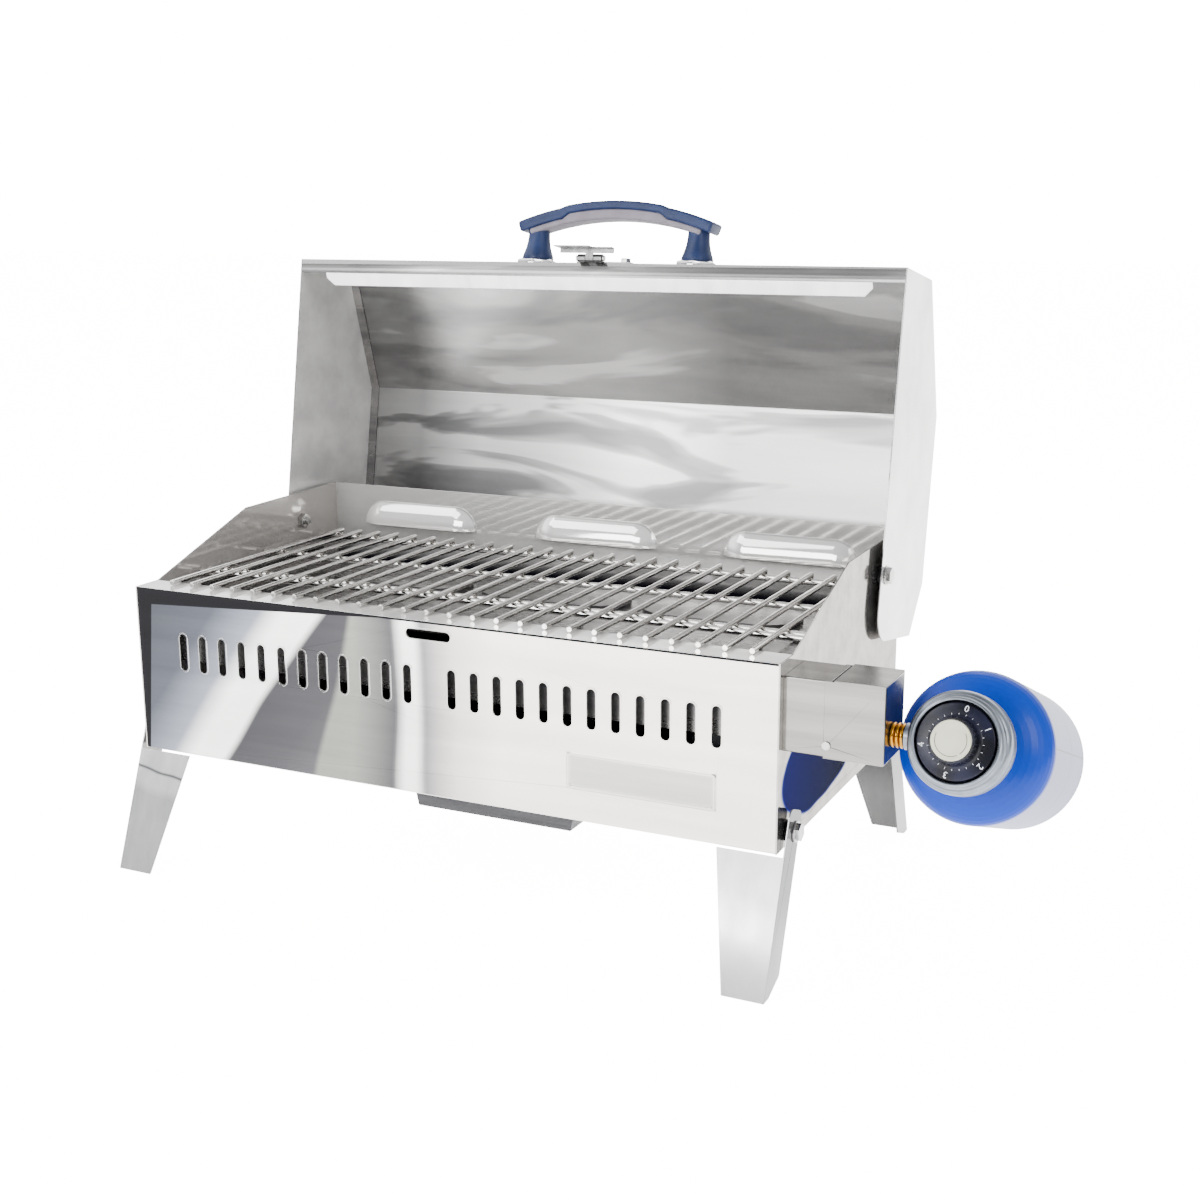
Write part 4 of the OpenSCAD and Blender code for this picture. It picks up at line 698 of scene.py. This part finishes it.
def foldedSheet(name, node, look, size, plainEnds=False):
    # The part's sheet with real bend radii and softened cut edges
    piece = cleanCopy(name, node)
    bpy.ops.mesh.quads_convert_to_tris(quad_method="BEAUTY", ngon_method="BEAUTY")
    closeEdit()
    mesh = bmesh.new()
    mesh.from_mesh(piece.data)
    weights = mesh.edges.layers.float.new("bevel_weight_edge")
    for edge in mesh.edges:
        if len(edge.link_faces) == 2 and edge.calc_face_angle() > math.radians(size["sharp"]):
            wide = min(face.calc_area() / max(edge.calc_length(), mm(1)) for face in edge.link_faces)
            long = edge.calc_length() > mm(size["long"])
            if long and wide > mm(size["wide"]):
                edge[weights] = 1.0 if edge.is_convex else size["inner"]
            elif not plainEnds:
                edge[weights] = size["rim"]
    mesh.to_mesh(piece.data)
    mesh.free()
    runModifier(piece, "BEVEL", width=mm(size["bend"]), segments=3, limit_method="WEIGHT", use_clamp_overlap=False)
    smooth(piece, 60)
    runModifier(piece, "WEIGHTED_NORMAL", weight=100, keep_sharp=True)
    handOver(piece, look, [node])


sheetPieces = {
    "folded_lid": ("lid_shell", steelLid),
    "lid_end_left": ("lid_cap_left", steelLid),
    "lid_end_right": ("lid_cap_right", steelLid),
    "lid_stiffener": ("lid_lip", steelBright),
    "front_left_leg": ("leg_front_left", steelLeg),
    "front_right_leg": ("leg_front_right", steelLeg),
    "rear_left_leg": ("leg_rear_left", steelLeg),
    "rear_right_leg": ("leg_rear_right", steelLeg),
    "end_panel_left": ("side_panel_left", steelPanel),
    "end_panel_right": ("side_panel_right", steelPanel),
    "inlet_tunnel": ("tunnel_cover", steelTunnel),
    "inlet_housing": ("tunnel_housing", steelTunnel),
    "drip_tray": ("grease_tray", steelSatin),
    "folded_firebox": ("firebox_shell", steelFront),
}
for name, (node, look) in sheetPieces.items():
    foldedSheet(name, node, look, sheetSet, node == "lid_shell")
print("folded sheets made")


def pick(piece, test, kind="verts"):
    # Selects what the test finds in edit mode: corners by place, edges and faces by their middle and direction
    mesh = bmesh.from_edit_mesh(piece.data)
    bpy.ops.mesh.select_mode(type={"verts": "VERT", "edges": "EDGE", "faces": "FACE"}[kind])
    bpy.ops.mesh.select_all(action="DESELECT")
    for item in getattr(mesh, kind):
        if kind == "verts":
            chosen = test(item.co)
        elif kind == "edges":
            first, second = item.verts[0].co, item.verts[1].co
            chosen = test((first + second) / 2, (first - second).normalized())
        else:
            chosen = test(item.calc_center_median(), item.normal)
        if chosen:
            item.select_set(True)
    mesh.select_flush_mode()
    bmesh.update_edit_mesh(piece.data)


def startPiece(name):
    piece = bpy.context.object
    piece.name = name
    bpy.ops.object.transform_apply(location=True, rotation=True, scale=True)
    openEdit(piece)
    bpy.ops.mesh.select_all(action="SELECT")
    return piece


def turned(name, rings, steps=72, ringShaped=False):
    # Lathe work: each ring is radius and height in millimetres, from one end to the other
    radius, height = rings[0]
    bpy.ops.object.select_all(action="DESELECT")
    bpy.ops.mesh.primitive_circle_add(vertices=steps, radius=mm(radius), location=(0, 0, mm(height)))
    piece = startPiece(name)
    for nextRadius, nextHeight in rings[1:] + (rings[:1] if ringShaped else []):
        bpy.ops.mesh.extrude_region_move(TRANSFORM_OT_translate={"value": (0, 0, mm(nextHeight - height))})
        bpy.ops.transform.resize(value=(nextRadius / radius, nextRadius / radius, 1))
        radius, height = nextRadius, nextHeight
    bpy.ops.mesh.select_all(action="SELECT")
    bpy.ops.mesh.remove_doubles(threshold=mm(0.005))
    if not ringShaped:
        bpy.ops.mesh.fill_holes(sides=0)
    bpy.ops.mesh.select_all(action="SELECT")
    bpy.ops.mesh.normals_make_consistent(inside=False)
    closeEdit()
    return piece


def cutAcross(piece, places):
    # Extra cuts across the length, in edit mode
    for x in places:
        bpy.ops.mesh.select_all(action="SELECT")
        bpy.ops.mesh.bisect(plane_co=(mm(x), 0, 0), plane_no=(1, 0, 0))


def copyOf(piece, name, turn=None):
    # A copy with its own mesh, turned about the bench's Z axis
    choose(piece)
    bpy.ops.object.duplicate()
    made = bpy.context.object
    made.name = name
    if turn is not None:
        made.matrix_world = Matrix.Rotation(turn, 4, "Z") @ made.matrix_world
        bpy.ops.object.transform_apply(location=True, rotation=True, scale=True)
    return made


def joined(name, pieces):
    choose(*pieces)
    bpy.ops.object.join()
    pieces[0].name = name
    return pieces[0]


softSet = {"angle": 35, "segments": 2}


def softened(name, node, look, size, edge):
    # The part's own shape with its sharp edges broken
    piece = cleanCopy(name, node)
    closeEdit()
    runModifier(piece, "BEVEL", width=mm(edge), segments=size["segments"], limit_method="ANGLE",
                angle_limit=math.radians(size["angle"]), use_clamp_overlap=True)
    smooth(piece, 50)
    runModifier(piece, "WEIGHTED_NORMAL", weight=80, keep_sharp=True)
    handOver(piece, look, [node])


softPieces = {  # the part, its finish and the width of its broken edge
    "lid_hinge_bolts": ("hinge_bolts", boltBright, 0.5),
    "lid_hinge_nuts": ("hinge_nuts", boltBright, 0.6),
    "lid_hinge_spacers": ("hinge_spacers", nylonBlack, 0.4),
    "leg_pivot_bolts": ("leg_bolts", boltBright, 0.5),
    "leg_pivot_nuts": ("leg_nuts", boltBright, 0.6),
    "leg_pivot_spacers": ("leg_spacers", nylonBlack, 0.4),
    "tunnel_rivets": ("tunnel_screws", boltBright, 0.3),
    "hand_screws": ("handle_screws", boltBright, 0.3),
    "latch_tongue": ("latch_leaf", latchSteel, 0.25),
    "latch_claw": ("latch_hook", latchSteel, 0.25),
    "latch_axle": ("latch_pin", boltBright, 0.3),
    "latch_hex": ("latch_bolt", boltBright, 0.4),
    "cooking_rods": ("grate_rods", rodBright, 0.3),
    "cross_rods": ("grate_cross_rods", rodBright, 0.3),
}
for name, (node, look, edge) in softPieces.items():
    softened(name, node, look, softSet, edge)
print("hardware and rods softened")

handleSet = {
    "arch": 235.4,  # radius of the bend
    "span": 84,
    "crown": 49.5,
    "width": 22,
    "capThick": 6.6,
    "capDeep": 9.8,  # thickness of the cap beyond the step
    "stepFrom": 40,
    "stepTo": 47,
    "topDrop": 1.1,
    "total": 14,
    "insertWidth": 18.4,
    "insertEnd": 78,
    "insertEdge": 1.6,
    "insertTuck": 0.4,  # how far the grip reaches up into the cap
    "edge": 2.1,
    "postAt": 68.5,
    "post": [(12.0, 4.2), (12.4, 5.2), (12.0, 7.4), (11.1, 10.2), (10.0, 13.6), (9.1, 17.6), (8.6, 22), (8.4, 26.5),
             (8.4, 30.5)],
    "cuts": range(-84, 85, 6),  # cuts that let the straight bar bend smoothly
    "cutMargin": 4,
}


def bentBar(name, size, length, width, top, low, lowBeyond, dropBeyond):
    # A straight bar on the bench, X along it and Y up: stepped at both ends, rounded, then bent to the arch
    bpy.ops.object.select_all(action="DESELECT")
    bpy.ops.mesh.primitive_cube_add(size=1, location=(0, mm((top + low) / 2), 0),
                                    scale=(mm(length), mm(top - low), mm(width)))
    bar = startPiece(name)
    step = mm((size["stepFrom"] + size["stepTo"]) / 2)
    cutAcross(bar, (-size["stepTo"], -size["stepFrom"], size["stepFrom"], size["stepTo"]))
    middle = mm((top + low) / 2)
    pick(bar, lambda co: abs(co.x) > step and co.y < middle)
    bpy.ops.transform.translate(value=(0, mm(lowBeyond), 0))
    pick(bar, lambda co: abs(co.x) > step and co.y > middle)
    bpy.ops.transform.translate(value=(0, mm(dropBeyond), 0))
    closeEdit()
    runModifier(bar, "BEVEL", width=mm(size["edge"]), segments=4, limit_method="ANGLE", angle_limit=math.radians(40))
    openEdit(bar)
    cutAcross(bar, [x for x in size["cuts"] if abs(x) < length / 2 - size["cutMargin"]])
    closeEdit()
    runModifier(bar, "SIMPLE_DEFORM", deform_method="BEND", deform_axis="Z", angle=-length / size["arch"])
    return bar


def makeHandle(size):
    half = math.asin(size["span"] / size["arch"]) * size["arch"]
    crown = handlePlace @ Matrix.Translation((0, 0, mm(size["crown"]))) @ Matrix.Rotation(math.radians(90), 4, "X")
    deeper = size["capThick"] - size["capDeep"]
    cap = bentBar("grip_cap", size, half * 2, size["width"], 0, -size["capThick"], deeper, -size["topDrop"])
    settle(cap, crown)
    smooth(cap, 40)
    handOver(cap, nylonBlue, ["handle_bar"])
    grip = bentBar("grip_underside", {**size, "edge": size["insertEdge"]}, size["insertEnd"] * 2, size["insertWidth"],
                   -size["capThick"] + size["insertTuck"], -size["total"], 0, deeper)
    settle(grip, crown)
    smooth(grip, 40)
    handOver(grip, gripGrey, ["handle_insert"])
    post = turned("grip_post_left", size["post"], 48)
    right = copyOf(post, "grip_post_right")
    for each, side in ((post, -1), (right, 1)):
        settle(each, handlePlace @ Matrix.Translation((mm(side * size["postAt"]), 0, 0)))
        smooth(each, 50)
    posts = joined("grip_posts", [post, right])
    handOver(posts, nylonBlue, ["handle_posts"])


baseSet = {"across": 16.6, "washer": 17.2, "washerThick": 1.0, "bore": 9, "high": 4.4, "chamfer": 1.1, "spin": 12}


def makeHandleFeet(size):
    # A plated hexagon with chamfered corners, on a thin washer
    feet = []
    rim, thick = size["washer"], size["washerThick"]
    for side in (-1, 1):
        bpy.ops.object.select_all(action="DESELECT")
        bpy.ops.mesh.primitive_cylinder_add(vertices=6, radius=mm(size["across"]), depth=mm(size["high"] - thick),
                                            location=(0, 0, mm((size["high"] + thick) / 2)),
                                            rotation=(0, 0, math.radians(size["spin"])))
        nut = startPiece("grip_foot")
        pick(nut, lambda co, normal: normal.z > 0.9, "faces")
        bpy.ops.mesh.inset(thickness=mm(size["chamfer"] * 2))
        bpy.ops.transform.translate(value=(0, 0, mm(0.01)))
        pick(nut, lambda co: co.z > mm(size["high"] - 0.05) and co.xy.length > mm(size["across"] - 0.5))
        bpy.ops.transform.translate(value=(0, 0, -mm(size["chamfer"])))
        closeEdit()
        runModifier(nut, "BEVEL", width=mm(0.35), segments=2, limit_method="ANGLE", angle_limit=math.radians(20))
        profile = [(size["bore"], 0.1), (rim - 0.3, 0.1), (rim, 0.35), (rim, 0.75), (rim - 0.3, thick), (size["bore"], thick)]
        washer = turned("grip_washer", profile, 64)
        foot = joined("grip_foot", [nut, washer])
        settle(foot, handlePlace @ Matrix.Translation((mm(side * handleSet["postAt"]), 0, 0)))
        smooth(foot, 30)
        feet.append(foot)
    handOver(joined("grip_feet", feet), chromeBright, ["handle_bases"])


makeHandle(handleSet)
makeHandleFeet(baseSet)
print("handle made")

ringSet = {
    "profile": [(24.9, -9), (24.9, -18.8), (25.3, -19.6), (26.0, -19.9), (26.8, -19.6), (27.2, -18.6), (27.4, -16.6),
                (28.0, -16.0), (28.7, -15.6), (29.0, -14.2), (29.4, -13.2), (30.2, -12.8), (31.2, -12.0), (31.9, -10.4),
                (32.1, -8.2), (32.1, -5.0), (31.0, -4.6), (30.4, -5.6), (29.8, -6.4), (28.0, -7.6)],
}
dialSet = {
    "profile": [(23.3, -14.3), (23.7, -14.8), (23.8, -18.9), (23.5, -19.7), (22.9, -20.0), (17.0, -20.0), (16.3, -20.15),
                (15.4, -20.9), (14.4, -22.2), (14.0, -24.0), (13.9, -30.6), (13.6, -31.5), (13.0, -31.95), (11.0, -32.0)],
    "rib": (0.7, 8.2, 13.7, -27),  # radius, length, distance from the axis, middle
    "ribs": 30,
    "face": -20.0,
    "digitAt": 20.6,
    "digitSize": 5.6,
    "digits": {"0": 12, "1": 62, "2": 128, "3": 190, "4": 258},  # bearing of each digit, clockwise from the top
    "tickAt": 16.7,
    "tick": (1.5, 0.28),  # length and width
    "tickStep": 15,
    "arcs": ((200, 340), (50, 130)),  # where the two printed arcs on the button start and end
    "arc": (9.6, 0.34, -33.02, -32.86),  # radius, width, lower and upper face
    "discProfile": [(12.2, -31.9), (12.3, -32.2), (12.2, -32.7), (11.8, -32.98), (0.8, -32.98)],
    "raise": 0.12,
}


def flatRibbon(start, end, radius, width, low, high, steps=40):
    # A short edge spun round the axis into a flat printed arc, then raised
    bpy.ops.object.select_all(action="DESELECT")
    bpy.ops.mesh.primitive_plane_add(size=1, location=(mm(radius), 0, 0))
    arc = startPiece("arc")
    pick(arc, lambda co: co.y > 0)
    bpy.ops.mesh.delete(type="VERT")
    pick(arc, lambda co: True)
    bpy.ops.transform.resize(value=(mm(width), 1, 1), center_override=(mm(radius), 0, 0))
    bpy.ops.transform.translate(value=(0, 0.5, 0))
    bpy.ops.mesh.spin(steps=steps, angle=math.radians(end - start), center=(0, 0, 0), axis=(0, 0, 1))
    bpy.ops.mesh.select_all(action="SELECT")
    bpy.ops.mesh.normals_make_consistent(inside=False)
    closeEdit()
    arc.matrix_world = Matrix.Rotation(math.radians(start), 4, "Z") @ Matrix.Translation((0, 0, mm(low)))
    bpy.ops.object.transform_apply(location=True, rotation=True, scale=True)
    runModifier(arc, "SOLIDIFY", thickness=mm(high - low), offset=0)
    return arc


def printedDigit(text, size, bearing):
    bpy.ops.object.select_all(action="DESELECT")
    bpy.ops.object.text_add(location=(0, 0, 0))
    word = bpy.context.object
    word.data.body = text
    word.data.size = mm(size["digitSize"])
    word.data.align_x = "CENTER"
    word.data.align_y = "CENTER"
    word.data.extrude = mm(size["raise"])
    word.data.resolution_u = 4
    bpy.ops.object.convert(target="MESH")
    word = bpy.context.object
    # laid face outwards at the rim with its head towards the edge
    upright = leaning((0, -mm(size["digitAt"]), mm(size["face"])), 180)
    word.matrix_world = Matrix.Rotation(math.radians(bearing), 4, "Z") @ upright
    bpy.ops.object.transform_apply(location=True, rotation=True, scale=True)
    return word


def printedTick(size):
    long, wide = size["tick"]
    bpy.ops.object.select_all(action="DESELECT")
    bpy.ops.mesh.primitive_plane_add(size=1, location=(0, -mm(size["tickAt"]), mm(size["face"])))
    tick = startPiece("tick")
    bpy.ops.transform.resize(value=(mm(wide), mm(long), 1), center_override=(0, -mm(size["tickAt"]), 0))
    closeEdit()
    runModifier(tick, "SOLIDIFY", thickness=mm(size["raise"] * 2), offset=0)
    return tick


rimSet = {
    "profile": [(48.4, 152.0), (49.0, 152.2), (49.2, 153.0), (49.2, 156.2), (48.8, 157.6), (47.6, 158.8), (46.0, 159.2),
                (45.4, 158.4), (45.6, 152.4)],
}


def makeCylinderRim(size):
    # The crimped foot of the cylinder, dipped in dark enamel
    rim = turned("cylinder_foot_rim", size["profile"], 96, True)
    settle(rim, regulatorPlace)
    smooth(rim, 40)
    handOver(rim, darkEnamel, ["cylinder_base_ring"])


def makeRing(size):
    ring = turned("regulator_ring", size["profile"], 96, True)
    settle(ring, regulatorPlace)
    smooth(ring, 28)
    handOver(ring, alloyCast, ["regulator_bezel"])


def makeDial(size):
    core = turned("dial_core", size["profile"], 96)
    ribRadius, ribLong, ribOut, ribAt = size["rib"]
    bpy.ops.object.select_all(action="DESELECT")
    bpy.ops.mesh.primitive_cylinder_add(vertices=10, radius=mm(ribRadius), depth=mm(ribLong),
                                        location=(mm(ribOut), 0, mm(ribAt)))
    rib = startPiece("rib")
    closeEdit()
    runModifier(rib, "BEVEL", width=mm(0.35), segments=2, limit_method="ANGLE", angle_limit=math.radians(60))
    ribs = [copyOf(rib, "rib", math.tau * k / size["ribs"]) for k in range(1, size["ribs"])]
    dial = joined("control_dial_moulding", [core, rib] + ribs)
    settle(dial, regulatorPlace)
    smooth(dial, 32)
    handOver(dial, dialBlack, ["control_dial"])

    disc = turned("dial_button", size["discProfile"], 72)
    settle(disc, regulatorPlace)
    smooth(disc, 32)
    handOver(disc, discIvory, ["dial_disc"])

    prints = [printedDigit(text, size, bearing) for text, bearing in size["digits"].items()]
    firstTick = printedTick(size)
    for bearing in range(0, 360, size["tickStep"]):
        prints.append(copyOf(firstTick, "tick", math.radians(bearing)))
    bpy.data.objects.remove(firstTick)
    marks = joined("dial_prints", prints)
    arcs = joined("button_prints", [flatRibbon(*span, *size["arc"]) for span in size["arcs"]])
    for piece, look, slotNode, bodyNode in (
            (marks, printWhite, "dial_disc", "control_dial"), (arcs, dialBlack, "control_dial", "dial_disc")):
        settle(piece, regulatorPlace)
        piece.data.materials.clear()
        piece.data.materials.append(look)
        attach(piece, bodyOf[bodyNode])


makeCylinderRim(rimSet)
makeRing(ringSet)
makeDial(dialSet)
print("regulator face made")
